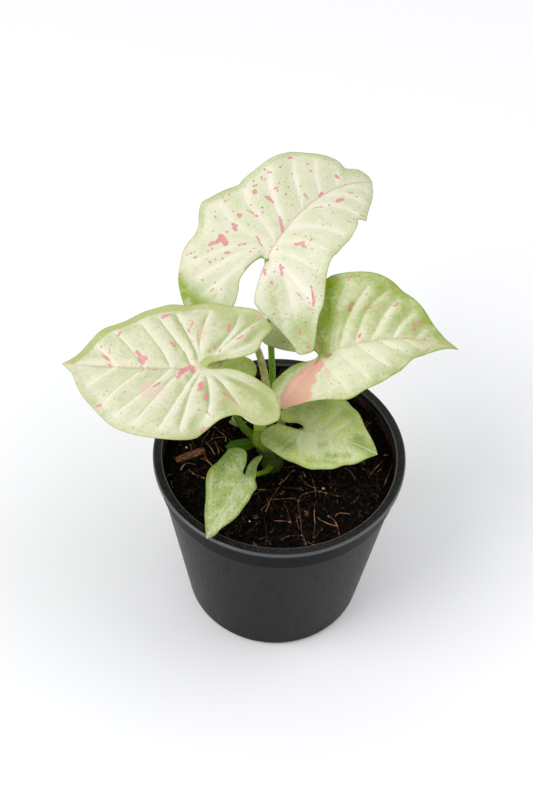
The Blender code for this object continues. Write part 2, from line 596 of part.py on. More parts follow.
def main():
    clear_scene()
    home = new_collection("potted_syngonium")
    cutters = new_collection("cutters", hidden=True)
    plastic = material("pot_plastic", (0.018, 0.019, 0.020), 0.42)
    peat = material("soil_peat", (0.020, 0.012, 0.008), 0.95)
    pale = material("leaf_pale", (0.60, 0.71, 0.38), 0.48)
    green = material("leaf_green", (0.42, 0.58, 0.20), 0.48)
    dark = material("leaf_dark", (0.030, 0.115, 0.016), 0.25, coat=0.3)
    stalk_green = material("stalk_green", (0.115, 0.240, 0.030), 0.45)
    stalk_olive = material("stalk_olive", (0.200, 0.190, 0.070), 0.5)
    blade_slots = {"leaf_top": pale, "leaf_left": pale, "leaf_right": pale, "leaf_young": dark}
    stalk_slots = {"petiole_left": stalk_olive, "petiole_right": stalk_olive}

    pot = make_pot(home, cutters, plastic)
    rest = [make_soil(home, cutters, peat), settle(make_stem("stem", home, stalk_olive))]
    round_stem = as_cutter(make_stem("round_stem", cutters, grow=1.15 * GAP))
    for name in STALKS:
        rest.append(make_stalk(name, home, cutters, stalk_slots.get(name, stalk_green), round_stem))
    for name in LEAVES:
        rest.append(make_leaf(name, home, blade_slots.get(name, green)))
    boolean(rest[-1], "DIFFERENCE", round_stem)
    settle(rest[-1], sharp=70)
    for obj in rest:
        obj.parent = pot


main()
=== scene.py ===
# %% [markdown]
# # A potted syngonium
# The object is a young syngonium in a black plastic nursery pot: three large arrow-shaped leaves, pale
# and flecked with pink, three small green ones, a curled dark one, and dark peat full of coir fibre.
# The imported model gives the frame. Every piece below takes the place of one of its nodes, with the same
# form and far more detail. Lengths in the tables are millimetres. Only the flecks and the long fibres stay
# in the pixels of the enlarged cuts of the photo on which they were read, and the camera carries them
# into the scene.

# %% Load the frame
from math import cos, exp, pi, radians, sin, sqrt

import bmesh
import bpy
import numpy as np
from mathutils import Matrix, Vector, noise
from mathutils.geometry import delaunay_2d_cdt


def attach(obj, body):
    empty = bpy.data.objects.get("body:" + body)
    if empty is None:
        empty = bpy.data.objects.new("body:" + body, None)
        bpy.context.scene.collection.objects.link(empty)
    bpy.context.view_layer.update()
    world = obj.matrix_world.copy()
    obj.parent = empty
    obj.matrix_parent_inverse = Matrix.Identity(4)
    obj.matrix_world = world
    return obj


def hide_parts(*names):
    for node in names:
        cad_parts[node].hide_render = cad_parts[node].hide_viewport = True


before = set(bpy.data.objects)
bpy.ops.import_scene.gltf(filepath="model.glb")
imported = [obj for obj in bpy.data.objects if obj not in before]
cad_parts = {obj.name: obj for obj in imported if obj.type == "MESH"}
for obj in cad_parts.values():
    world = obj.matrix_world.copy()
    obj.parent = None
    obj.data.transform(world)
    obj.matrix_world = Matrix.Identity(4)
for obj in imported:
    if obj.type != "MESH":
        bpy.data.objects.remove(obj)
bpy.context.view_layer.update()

MM = 0.001

# %% [markdown]
# ## Camera
# The photograph looks down on the plant at about 49 degrees, from roughly half a metre, with the picture
# turned by two degrees. A camera could be aimed with a constraint, but three plain axes keep the small
# roll exactly, so the camera is placed by its own right, up and back directions.

# %% Camera
VIEW_RIGHT = Vector((0.9993, 0.0279, 0.0243))
VIEW_UP = Vector((-0.037, 0.7528, 0.6572))
VIEW_BACK = Vector((0.0, -0.6576, 0.7533))
VIEW_FROM = Vector((-0.0059, -0.348, 0.5158))
PHOTO_SIZE = (533, 794)                             # its pixels, across and down

lens = bpy.data.cameras.new("camera")
lens.sensor_width = 36.0
lens.lens = 63.48
lens.clip_start = 0.01
camera = bpy.data.objects.new("camera", lens)
turned = Matrix((VIEW_RIGHT, VIEW_UP, VIEW_BACK)).transposed()
camera.matrix_world = Matrix.Translation(VIEW_FROM) @ turned.to_4x4()
bpy.context.scene.collection.objects.link(camera)
bpy.context.scene.camera = camera
FOCUS = lens.lens / lens.sensor_width * PHOTO_SIZE[1]   # in pixels, since the photo is taller than wide


def seen(points):
    """The pixels of the photo in which points in millimetres are seen."""
    away = points - np.array(VIEW_FROM) / MM
    deep = -away @ VIEW_BACK
    return np.stack([PHOTO_SIZE[0] / 2 + FOCUS * (away @ VIEW_RIGHT) / deep,
                     PHOTO_SIZE[1] / 2 - FOCUS * (away @ VIEW_UP) / deep], -1)


def on_level(pixel, height):
    """The point at a height, in millimetres, that the photo shows in a pixel."""
    across, down = (pixel[0] - PHOTO_SIZE[0] / 2) / FOCUS, (pixel[1] - PHOTO_SIZE[1] / 2) / FOCUS
    ray = across * VIEW_RIGHT - down * VIEW_UP - VIEW_BACK
    point = VIEW_FROM / MM
    return point + ray * (height - point.z) / ray.z


print("camera looks down by 49 degrees from", tuple(round(v, 3) for v in camera.location))

# %% [markdown]
# ## Building blocks for node trees
# Geometry Nodes and materials are both trees of nodes, so the same helpers build them all. One adds a
# node and links or sets its inputs, a few are a short way to write arithmetic, and one makes a new tree
# with named inputs and outputs.

# %% Node helpers
def add(tree, kind, inputs=None, out=0, **settings):
    """Adds a node, sets or links its inputs by name or number, and gives one of its outputs."""
    made = tree.nodes.new(kind)
    for key, value in settings.items():
        setattr(made, key, value)
    for key, value in (inputs or {}).items():
        if isinstance(value, bpy.types.NodeSocket):
            tree.links.new(value, made.inputs[key])
        else:
            made.inputs[key].default_value = value
    return made.outputs[out]


def calc(tree, operation, *values):
    """One step of arithmetic with numbers. The four below are the ones that come up most."""
    return add(tree, "ShaderNodeMath", dict(enumerate(values)), operation=operation)


def plus(tree, first, second):
    return calc(tree, "ADD", first, second)


def minus(tree, first, second):
    return calc(tree, "SUBTRACT", first, second)


def times(tree, first, second):
    return calc(tree, "MULTIPLY", first, second)


def over(tree, first, second):
    return calc(tree, "DIVIDE", first, second)


def vec(tree, operation, *values, out=0):
    """One step of arithmetic with directions or places."""
    return add(tree, "ShaderNodeVectorMath", dict(enumerate(values)), out, operation=operation)


def ramp(tree, value, low, high, to_low=0.0, to_high=1.0):
    """A smooth step from low to high."""
    return add(tree, "ShaderNodeMapRange", {"Value": value, "From Min": low, "From Max": high,
                                            "To Min": to_low, "To Max": to_high},
               interpolation_type="SMOOTHSTEP")


def mix(tree, amount, first, second):
    """first where the amount is 0, second where it is 1."""
    return add(tree, "ShaderNodeMix", {0: amount, 6: first, 7: second}, 2, data_type="RGBA")


def new_tree(name, kind, inputs, outputs):
    """A tree with named inputs, each a socket type and a value, and named outputs."""
    tree = bpy.data.node_groups.new(name, kind)
    for label, (socket, value) in inputs.items():
        made = tree.interface.new_socket(label, in_out="INPUT", socket_type="NodeSocket" + socket)
        if value is not None:
            made.default_value = value
    for label, socket in outputs.items():
        tree.interface.new_socket(label, in_out="OUTPUT", socket_type="NodeSocket" + socket)
    return tree, tree.nodes.new("NodeGroupInput").outputs, tree.nodes.new("NodeGroupOutput").inputs


def tone(red, green, blue):
    """A colour as it looks on a screen, 0 to 255, turned into the light that Blender mixes."""
    part = [c / 255 for c in (red, green, blue)]
    return tuple(c / 12.92 if c < 0.04 else ((c + 0.055) / 1.055) ** 2.4 for c in part) + (1.0,)


# %% Keep a Geometry Nodes result as a plain mesh
def new_object(name, mesh):
    obj = bpy.data.objects.new(name, mesh)
    bpy.context.scene.collection.objects.link(obj)
    return obj


def line_mesh(name, paths, **values):
    """Open lines of points in millimetres, with named values for each point."""
    mesh = bpy.data.meshes.new(name)
    points, edges = [], []
    for path in paths:
        first = len(points)
        points += [tuple(Vector(p[:3]) * MM) for p in path]
        edges += [(first + k, first + k + 1) for k in range(len(path) - 1)]
    mesh.from_pydata(points, edges, [])
    for label, data in values.items():
        mesh.attributes.new(label, "FLOAT", "POINT").data.foreach_set("value", np.array(data, float))
    return mesh


def run_tree(obj, tree, values):
    """Runs a tree on the object with its inputs set, and keeps what it makes as the object's mesh."""
    step = obj.modifiers.new(tree.name, "NODES")
    step.node_group = tree
    for item in tree.interface.items_tree:
        if item.in_out == "INPUT" and item.name in values:
            step[item.identifier] = values[item.name]
    bpy.context.view_layer.update()
    graph = bpy.context.evaluated_depsgraph_get()
    mesh = bpy.data.meshes.new_from_object(obj.evaluated_get(graph), preserve_all_data_layers=True,
                                           depsgraph=graph)
    obj.modifiers.remove(step)
    mesh.name = obj.name
    obj.data = mesh
    mesh.shade_smooth()
    return obj


def end_tree(tree, geometry, finish, result):
    """Every tree ends with its instances made real and its material set."""
    real = add(tree, "GeometryNodeRealizeInstances", {"Geometry": geometry})
    tree.links.new(add(tree, "GeometryNodeSetMaterial", {"Geometry": real, "Material": finish}), result)


def register(obj, slot, *nodes):
    """Tells the frame what the piece rides on and which nodes it stands for. slot is not used."""
    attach(obj, "root")
    if nodes:
        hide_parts(*nodes)
    triangles = sum(len(p.vertices) - 2 for p in obj.data.polygons)
    print(f"{obj.name}: {triangles} triangles")


# %% [markdown]
# ## Light and floor
# The photograph has bright, very even light: white walls all round and one big soft source above and to
# the left. A single lamp would give hard shadows, so a white world carries most of the light and two
# large area lights add the soft direction that shows the leaves' relief.

# %% Light and floor
world = bpy.data.worlds.new("white_studio")
bpy.context.scene.world = world
world.use_nodes = True
world.node_tree.nodes["Background"].inputs["Color"].default_value = (0.97, 0.98, 1.0, 1.0)
world.node_tree.nodes["Background"].inputs["Strength"].default_value = 0.68
bpy.context.scene.view_settings.view_transform = "Standard"


def soft_light(name, place, target, size, watts):
    """A round area light that faces its target."""
    lamp = bpy.data.lights.new(name, "AREA")
    lamp.shape = "DISK"
    lamp.size = size
    lamp.energy = watts
    obj = bpy.data.objects.new(name, lamp)
    away = (Vector(place) - Vector(target)).normalized()
    obj.matrix_world = Matrix.Translation(place) @ away.to_track_quat("Z", "Y").to_matrix().to_4x4()
    bpy.context.scene.collection.objects.link(obj)


soft_light("key", (-0.95, -0.5, 1.3), (0, 0, 0.1), 1.1, 12.5)
soft_light("fill", (0.9, 0.1, 1.4), (0, 0, 0.1), 1.2, 6)

paper = bpy.data.materials.new("studio_paper")
paper.use_nodes = True
tree = paper.node_tree
place = add(tree, "ShaderNodeTexCoord", out=3)
cloud = add(tree, "ShaderNodeTexNoise", {"Vector": place, "Scale": 1.2, "Detail": 2.0})
skin = tree.nodes["Principled BSDF"]
shade = mix(tree, cloud, (0.93, 0.93, 0.94, 1), (0.95, 0.95, 0.96, 1))
tree.links.new(shade, skin.inputs["Base Color"])
skin.inputs["Roughness"].default_value = 0.9
mesh = bpy.data.meshes.new("floor")
FLOOR = 4.0                                         # half its width, in metres
corners = [(x * FLOOR, y * FLOOR, 0) for x, y in ((-1, -1), (1, -1), (1, 1), (-1, 1))]
mesh.from_pydata(corners, [], [(0, 1, 2, 3)])
mesh.materials.append(paper)
new_object("floor", mesh)
print("light: white world, key and fill")

# %% [markdown]
# ## Colour and texture blocks
# Leaf, stalk, plastic, peat and bark all need the same thing at different scales: two tones that run into
# each other in soft patches. Painting each of them would take images; a small group of nodes does it from
# noise, so it is built once and placed in each material with its own size and colours. A material is then
# a colour, a roughness and a height that a Bump node turns into fine relief.

# %% Patches of two tones, and a finished surface
patches, come, go = new_tree("patches", "ShaderNodeTree", {
    "Place": ("Vector", None), "Size": ("Float", 0.01), "Softness": ("Float", 0.2),
    "First": ("Color", None), "Second": ("Color", None)}, {"Colour": "Color", "Amount": "Float"})
scaled = vec(patches, "SCALE", come["Place"])
patches.links.new(over(patches, 1.0, come["Size"]), scaled.node.inputs["Scale"])
cloud = add(patches, "ShaderNodeTexNoise", {"Vector": scaled, "Scale": 1.0, "Detail": 4.0, "Roughness": 0.6})
amount = ramp(patches, cloud, minus(patches, 0.5, come["Softness"]), plus(patches, 0.5, come["Softness"]))
patches.links.new(mix(patches, amount, come["First"], come["Second"]), go["Colour"])
patches.links.new(amount, go["Amount"])


def patch(tree, place, size, first, second, softness=0.15):
    """Two tones in patches of a size, in the unit of the place. Gives the colour."""
    made = tree.nodes.new("ShaderNodeGroup")
    made.node_tree = patches
    tree.links.new(place, made.inputs["Place"])
    for label, value in (("Size", size), ("Softness", softness), ("First", first), ("Second", second)):
        if isinstance(value, bpy.types.NodeSocket):
            tree.links.new(value, made.inputs[label])
        else:
            made.inputs[label].default_value = value
    return made.outputs["Colour"]


def patches_only(tree, place, size, softness):
    """The same patches as plain numbers from 0 to 1."""
    return patch(tree, place, size, (0, 0, 0, 1), (1, 1, 1, 1), softness).node.outputs["Amount"]


def new_material(name):
    made = bpy.data.materials.new(name)
    made.use_nodes = True
    return made, made.node_tree


def surface(material, colour, roughness, height, depth, **settings):
    """Joins colour, roughness and height to the material's shader. depth is the bump in millimetres."""
    tree = material.node_tree
    shader = tree.nodes["Principled BSDF"]
    tree.links.new(colour, shader.inputs["Base Color"])
    tree.links.new(roughness, shader.inputs["Roughness"])
    bump = add(tree, "ShaderNodeBump", {"Height": height, "Distance": depth * MM, "Strength": 1.0})
    tree.links.new(bump, shader.inputs["Normal"])
    for label, value in settings.items():
        shader.inputs[label.replace("_", " ")].default_value = value
    return material


print("colour blocks ready")

# %% [markdown]
# ## The leaves' shapes
# A syngonium leaf is a thin blade shaped like an arrowhead. Its midrib arches away from the stalk, its
# two halves fold up from the midrib and curl down again towards the margin, and the blade swells up
# between its side veins. Each blade here starts flat, and a rule bends it. Its outline and its veins were
# read in the photograph and carried onto the flat blade before they came here. The numbers for its place,
# turn, arch, fold and curl come from a fit of the bent outline to the photograph's, and were set one by
# one where a leaf is small or hidden. `left` and `right` are the margins of the two halves, from the stalk
# round the lobe to the tip, as distance along the midrib and out from it. `veins` are the side veins, each
# a line of such points.

# %% Outlines and veins of the leaves
LEAVES = {
    "leaf_top": dict(
        at=(-7.7, 51.0, 141.0), turn=67, tip=17.7, towards=-89.4, length=78.3, arch=45, lobe_arch=25.8,
        sweep=-33.1, fold=(20.4, 9.8), curl=(15.5, 23.9), pucker=(0.65, 3.6), band=(2.2, 0.25, 0.2),
        wave=0.8, slot="leaf_pale",
        left=[(-1.5, 2.2), (-6.5, 4.5), (-13.5, 5.5), (-18, 4), (-24, 3), (-30, 5.5), (-34, 11), (-34, 18),
              (-31, 22), (-25, 26.5), (-18, 29), (-12.5, 30), (-6, 29), (-2, 29.5), (2.5, 32), (5, 32.5),
              (8.5, 30.5), (14, 28), (18, 25.5), (21, 25.5), (26.5, 25), (32.5, 24.5), (39.5, 23),
              (45.5, 21.5), (53.5, 17), (58, 13.5), (61, 10.5), (63, 7), (70, 6), (74, 4.5), (77, 2.5)],
        right=[(-1.5, -0.3), (-6.5, -0.5), (-17, -2.5), (-20.5, -5), (-24, -12), (-27, -19), (-29.5, -24.5),
               (-31.5, -27), (-31.5, -29), (-29.5, -31.5), (-27, -32.5), (-15.5, -29), (-10, -28.5),
               (-3.5, -26.5), (2.5, -24.5), (10, -23), (17, -23), (28.5, -23), (37, -21), (42, -18.5),
               (44.5, -19), (46, -20.5), (49.5, -19), (61.5, -12.5), (69.5, -7), (73, -4)],
        veins=[
            [(28, 0), (31, 4.5), (34, 9), (37, 14), (40.5, 18)], [(40, 0), (43, 5), (46, 10), (49.5, 14)],
            [(52, 0), (54, 4), (58, 8)], [(14, 0), (18, 5), (21, 10), (25, 16), (29.5, 21)],
            [(7, 0), (10, 5), (12, 12), (14.5, 19), (18, 23)],
            [(2, 0), (4, 5), (4.3, 11), (4.5, 17), (7, 27)],
            [(0, 0), (0.8, 6), (-2, 13), (-8, 18.5), (-16, 25)],
            [(0, 0), (-0.5, 6.5), (-4, 10.5), (-10, 14.5), (-21, 21)],
            [(0, 0), (-2, 4.5), (-6, 6.8), (-16, 11.5), (-28, 17)],
            [(0, 0), (-8, -7), (-16, -12), (-22, -17), (-29, -27)],
            [(0, 0), (-6, -10), (-12, -15.5), (-19, -20.5), (-25, -27.5)],
            [(0, 0), (-3, -9), (-7, -17), (-11, -24.5)], [(0, 0), (-10, -3), (-17, -6.5), (-23, -14)],
            [(3, 0), (4, -9), (3, -20)], [(8, 0), (12, -8), (14, -19)],
            [(15, 0), (20, -5), (24, -12), (27, -19)], [(28, 0), (35, -3.5), (41, -9), (45, -15)],
            [(40, 0), (48, -4), (55, -11)], [(52, 0), (60, -2.5), (66, -6)]]),
    "leaf_left": dict(
        at=(-29.0, -1.6, 134.0), turn=182.4, tip=11.4, towards=-99.6, length=56.3, arch=18.7,
        lobe_arch=13.2, sweep=-18, fold=(7.6, 7.6), curl=(20.4, 20.1), pucker=(1.0, 4.2),
        band=(3.1, 0.15, 0.9), wave=0.7, slot="leaf_pale",
        left=[(-1.5, 0.3), (-5.5, 0.2), (-10, 0.4), (-16.5, 3), (-21, 6), (-25, 9.5), (-26.5, 12.5),
              (-27.5, 17.5), (-27, 21.5), (-25.5, 23), (-22, 24.5), (-18.5, 24.5), (-15.5, 23), (-13, 21),
              (-10, 21), (-5.5, 23), (-0.5, 26.5), (3, 29.5), (8, 30.5), (14, 30), (21, 29), (26.5, 27),
              (31.5, 24), (38.5, 18), (43.5, 13), (47, 8.5), (50.5, 4)],
        right=[(-1.5, -1.8), (-6.5, -2.8), (-12, -3.7), (-17.5, -5.5), (-20, -8), (-21.5, -12),
               (-23.5, -15), (-25, -17.5), (-23, -21), (-19, -25), (-10.5, -26.5), (-1.5, -27.5), (8, -28),
               (21, -26), (29.5, -23), (36.5, -19.5), (42.5, -15.5), (46.5, -10.5), (52, -3.5)],
        veins=[
            [(12, 0), (16, -7), (22, -14), (27, -19.5)], [(4.5, 0), (7, -6), (12, -12.5), (19, -21)],
            [(1, 0), (3, -7), (7, -14.5), (12, -23)], [(0, 0), (1.7, -9), (0.5, -16), (-2, -23.5)],
            [(0, 0), (-6, -9), (-11, -16), (-13, -22)],
            [(0, 0), (-3, -3.5), (-8, -9), (-16, -16.5), (-21, -20.5)],
            [(0, 0), (-4, -3.5), (-10, -6), (-18, -10.5), (-22, -15)],
            [(22, 0), (27, -6), (33, -11.5), (38, -15)], [(33, 0), (38, -4.5), (44, -9)],
            [(22, 0), (27, 6), (31.5, 12), (34, 18)], [(12, 0), (18, 8), (24, 15), (29, 21)],
            [(6, 0), (12, 6.5), (17, 15), (22.5, 25)], [(2, 0), (6, 8), (10.5, 18), (14, 26.5)],
            [(0, 0), (4, 10), (6, 19), (7.5, 27)], [(0, 0), (-2, 9), (-2, 18), (1, 25.5)],
            [(0, 0), (-5, 4.7), (-10, 12), (-15, 20)],
            [(0, 0), (-4, 1.5), (-9, 3.2), (-15, 6.5), (-23, 12)], [(33, 0), (38, 5), (42, 9.5)]]),
    "leaf_right": dict(
        at=(14.4, 17.7, 122.0), turn=21.3, tip=16.4, towards=-156.1, length=57.7, arch=44.2,
        lobe_arch=20.5, sweep=-21.2, fold=(20.7, 16.5), curl=(12.5, 15.6), pucker=(0.95, 4.0),
        band=(3.4, 0.35, 0.1), wave=0.7,
        slot="leaf_pale",
        left=[(-1.5, 3.0), (-7.5, 5.5), (-14, 11), (-17.5, 16), (-15, 20), (-7, 23.5), (2, 26), (12, 30),
              (15, 30.5), (20.5, 30), (24.5, 29), (28.5, 27), (32.5, 24), (35.5, 20.5), (38.5, 17.5),
              (41.5, 13), (45.5, 7.5), (50.5, 3), (54, 1.3)],
        right=[(-1.5, -0.2), (-4.5, 0.2), (-9, 1.8), (-13, 1.8), (-18.5, 0), (-22, -2.5), (-23.5, -11),
               (-22, -17.5), (-17.5, -19.5), (-12.5, -21), (-7.5, -23.5), (-0.5, -27), (4.5, -28),
               (11, -27.5), (16, -25.5), (22.5, -22), (30.5, -16.5), (38.5, -9.5), (46, -5), (53, -1.3)],
        veins=[
            [(8, 0), (11, 5), (14, 10), (18, 15.5), (24, 23)],
            [(14, 0), (17, 5), (20.5, 11), (26, 17), (30, 20)], [(20, 0), (24, 5), (28, 11), (33, 16.5)],
            [(29, 0), (32, 5), (36, 9), (40, 11)], [(38, 0), (41.5, 3.5), (45, 5)],
            [(4, 0), (8, 8), (11, 15), (15, 22), (18, 26)], [(1, 0), (5, 7), (8, 14), (10, 23)],
            [(0, 0), (0.5, 8), (1, 16), (2, 22)], [(0, 0), (-4, 8), (-7, 14), (-9, 19)],
            [(23, 0), (27, -6), (33, -10.5)], [(14, 0), (18, -10), (23, -18)],
            [(6, 0), (8.5, -10), (12, -22)], [(0, 0), (0.5, -13), (3, -24.5)],
            [(0, 0), (-4, -10), (-8, -19)], [(0, 0), (-7, -6), (-14, -10.5), (-20, -15)],
            [(0, 0), (-4, -0.8), (-9, -1), (-15, -3), (-20.5, -7.5)], [(32, 0), (37, -4), (43, -4.8)]]),
    "leaf_small_right": dict(
        at=(9.4, 1.9, 97.0), turn=-15.2, tip=5.3, towards=-139.3, length=30.2, arch=19.8, lobe_arch=10.1,
        sweep=-4, fold=(4.2, 4.9), curl=(15.2, 15.1), pucker=(0.75, 3.0), band=(1.4, 0.3, 0.3), wave=0.5,
        slot="leaf_green",
        left=[(-1, 1.1), (-3.5, 2), (-6.5, 1.5), (-9.5, 1.8), (-11.5, 5.5), (-8.5, 10), (2, 16),
              (10.5, 18.5), (15, 15.5), (19.5, 12), (23.5, 7.5), (27.5, 3.5)],
        right=[(-1, -0.8), (-5.5, -0.5), (-9.5, 0), (-12.5, -1), (-15, -4), (-15.5, -8), (-14, -11),
               (-11, -12.5), (-6, -15), (-1.5, -16.5), (4, -18), (9.5, -17), (15.5, -15), (19.5, -11.5),
               (23.5, -8), (27, -4)],
        veins=[
            [(0, 0), (3, 6), (4, 13)], [(4.5, 0), (8.5, 6), (11, 14)], [(10, 0), (14, 5.5), (17, 10.5)],
            [(16, 0), (20, 3.5), (23, 6)], [(0, 0), (-3, 4.5), (-7, 7.5)], [(0, 0), (0.5, -8), (3, -15)],
            [(5, 0), (7, -8), (9.5, -14)], [(10, 0), (12.5, -6), (16, -12)],
            [(16, 0), (19.5, -4.5), (22.5, -7)], [(0, 0), (-5, -5), (-11, -9)],
            [(0, 0), (-3, -7), (-5.5, -12.5)]]),
    "leaf_small_front": dict(
        at=(-13.3, -21.7, 95.5), turn=242, tip=6, towards=-95, length=28.4, arch=17.6, lobe_arch=8.8,
        sweep=0, fold=(42, 14), curl=(10, 10), pucker=(0.45, 2.4), band=(1.2, 0.3, 0.3), wave=0.4,
        slot="leaf_green",
        left=[(-1.5, -0.6), (-4.5, -2.2), (-6.5, -2.9), (-9, -2.6), (-11, -0.6), (-10.8, 2.4), (-7, 3),
              (-4.5, 3.5), (0.5, 7), (5, 10.5), (9, 11.5), (13, 11), (17, 9.5), (21, 8), (24, 5.5),
              (26.5, 3.5)],
        right=[(-1.5, -1.3), (-5, -2.1), (-7.5, -3.2), (-9.5, -4.5), (-10, -6.5), (-9, -9), (-6.5, -11),
               (-4.5, -11), (-0.5, -11.5), (4, -12.5), (8, -12), (14, -8.5), (20, -5.5), (24, -3)],
        veins=[
            [(0, 0), (2, 4), (4.5, 7.5)], [(4.5, 0), (8, 5), (10.5, 9)], [(10, 0), (13.5, 4), (17, 7)],
            [(16, 0), (19, 3), (21.5, 5)], [(0, 0), (-3.5, 1.2), (-7, 1.3)], [(0, 0), (0, -5), (1, -9.5)],
            [(4.5, 0), (7, -5), (9, -9.5)], [(10, 0), (13, -3.5), (15.5, -6)],
            [(16, 0), (18.5, -2.2), (21, -3.4)], [(0, 0), (-3.5, -4), (-6, -8.5)]]),
    "leaf_behind": dict(
        at=(-20.4, 10.5, 107.0), turn=200, tip=5, towards=-100, length=33, arch=25, lobe_arch=12,
        sweep=0, fold=(28, 10), curl=(10, 18), pucker=(0.6, 3.0), band=(1.5, 0.4, 0.4), wave=0.5,
        slot="leaf_green",
        left=[(-1, 1), (-4, 1.7), (-7, 1.4), (-10, 1.8), (-11.5, 4.5), (-9, 8.5), (1.5, 13), (10, 15),
              (16, 13), (21.5, 10), (26, 6.5), (30, 3)],
        right=[(-1, -0.7), (-4.5, -0.9), (-8, -1.6), (-11, -3.5), (-13.5, -7), (-13.5, -11), (-11, -13.5),
               (-7, -14.5), (-1.5, -15.5), (4.5, -15.5), (10.5, -14.5), (17, -12.5), (21.5, -9.5), (26, -7),
               (30, -3.5)],
        veins=[
            [(0, 0), (3, 5), (5, 11)], [(5, 0), (9, 6), (12, 12)], [(11, 0), (15, 5), (19, 8.5)],
            [(17, 0), (21, 4), (25, 5.5)], [(0, 0), (-4, 3.5), (-8, 5)], [(0, 0), (1, -7), (2.5, -13)],
            [(5, 0), (8, -6.5), (11, -11.5)], [(11, 0), (15, -5), (18.5, -9)],
            [(17, 0), (21, -4), (25, -5.5)], [(0, 0), (-5, -6), (-9.5, -11)]]),
    "leaf_young": dict(
        at=(-8.6, 3.4, 85.6), turn=180, tip=4, towards=180, length=13.5, arch=22, lobe_arch=0, sweep=0,
        fold=(8, 8), curl=(650, 650), pucker=(0.2, 1.2), band=(0.8, 0.2, 0.2), wave=0, slot="leaf_dark",
        left=[(0.5, 1.4), (3, 3), (6, 4), (9, 4.1), (11.8, 2.8)],
        right=[(0.5, -1.4), (3, -3), (6, -4), (9, -4.1), (11.8, -2.8)],
        veins=[[(2, 0), (4, 1.2), (6, 2.6)], [(5, 0), (7, 1.2), (9, 2.2)], [(2, 0), (4, -1.2), (6, -2.6)],
               [(5, 0), (7, -1.2), (9, -2.2)]]),
}
print("leaves:", ", ".join(LEAVES))
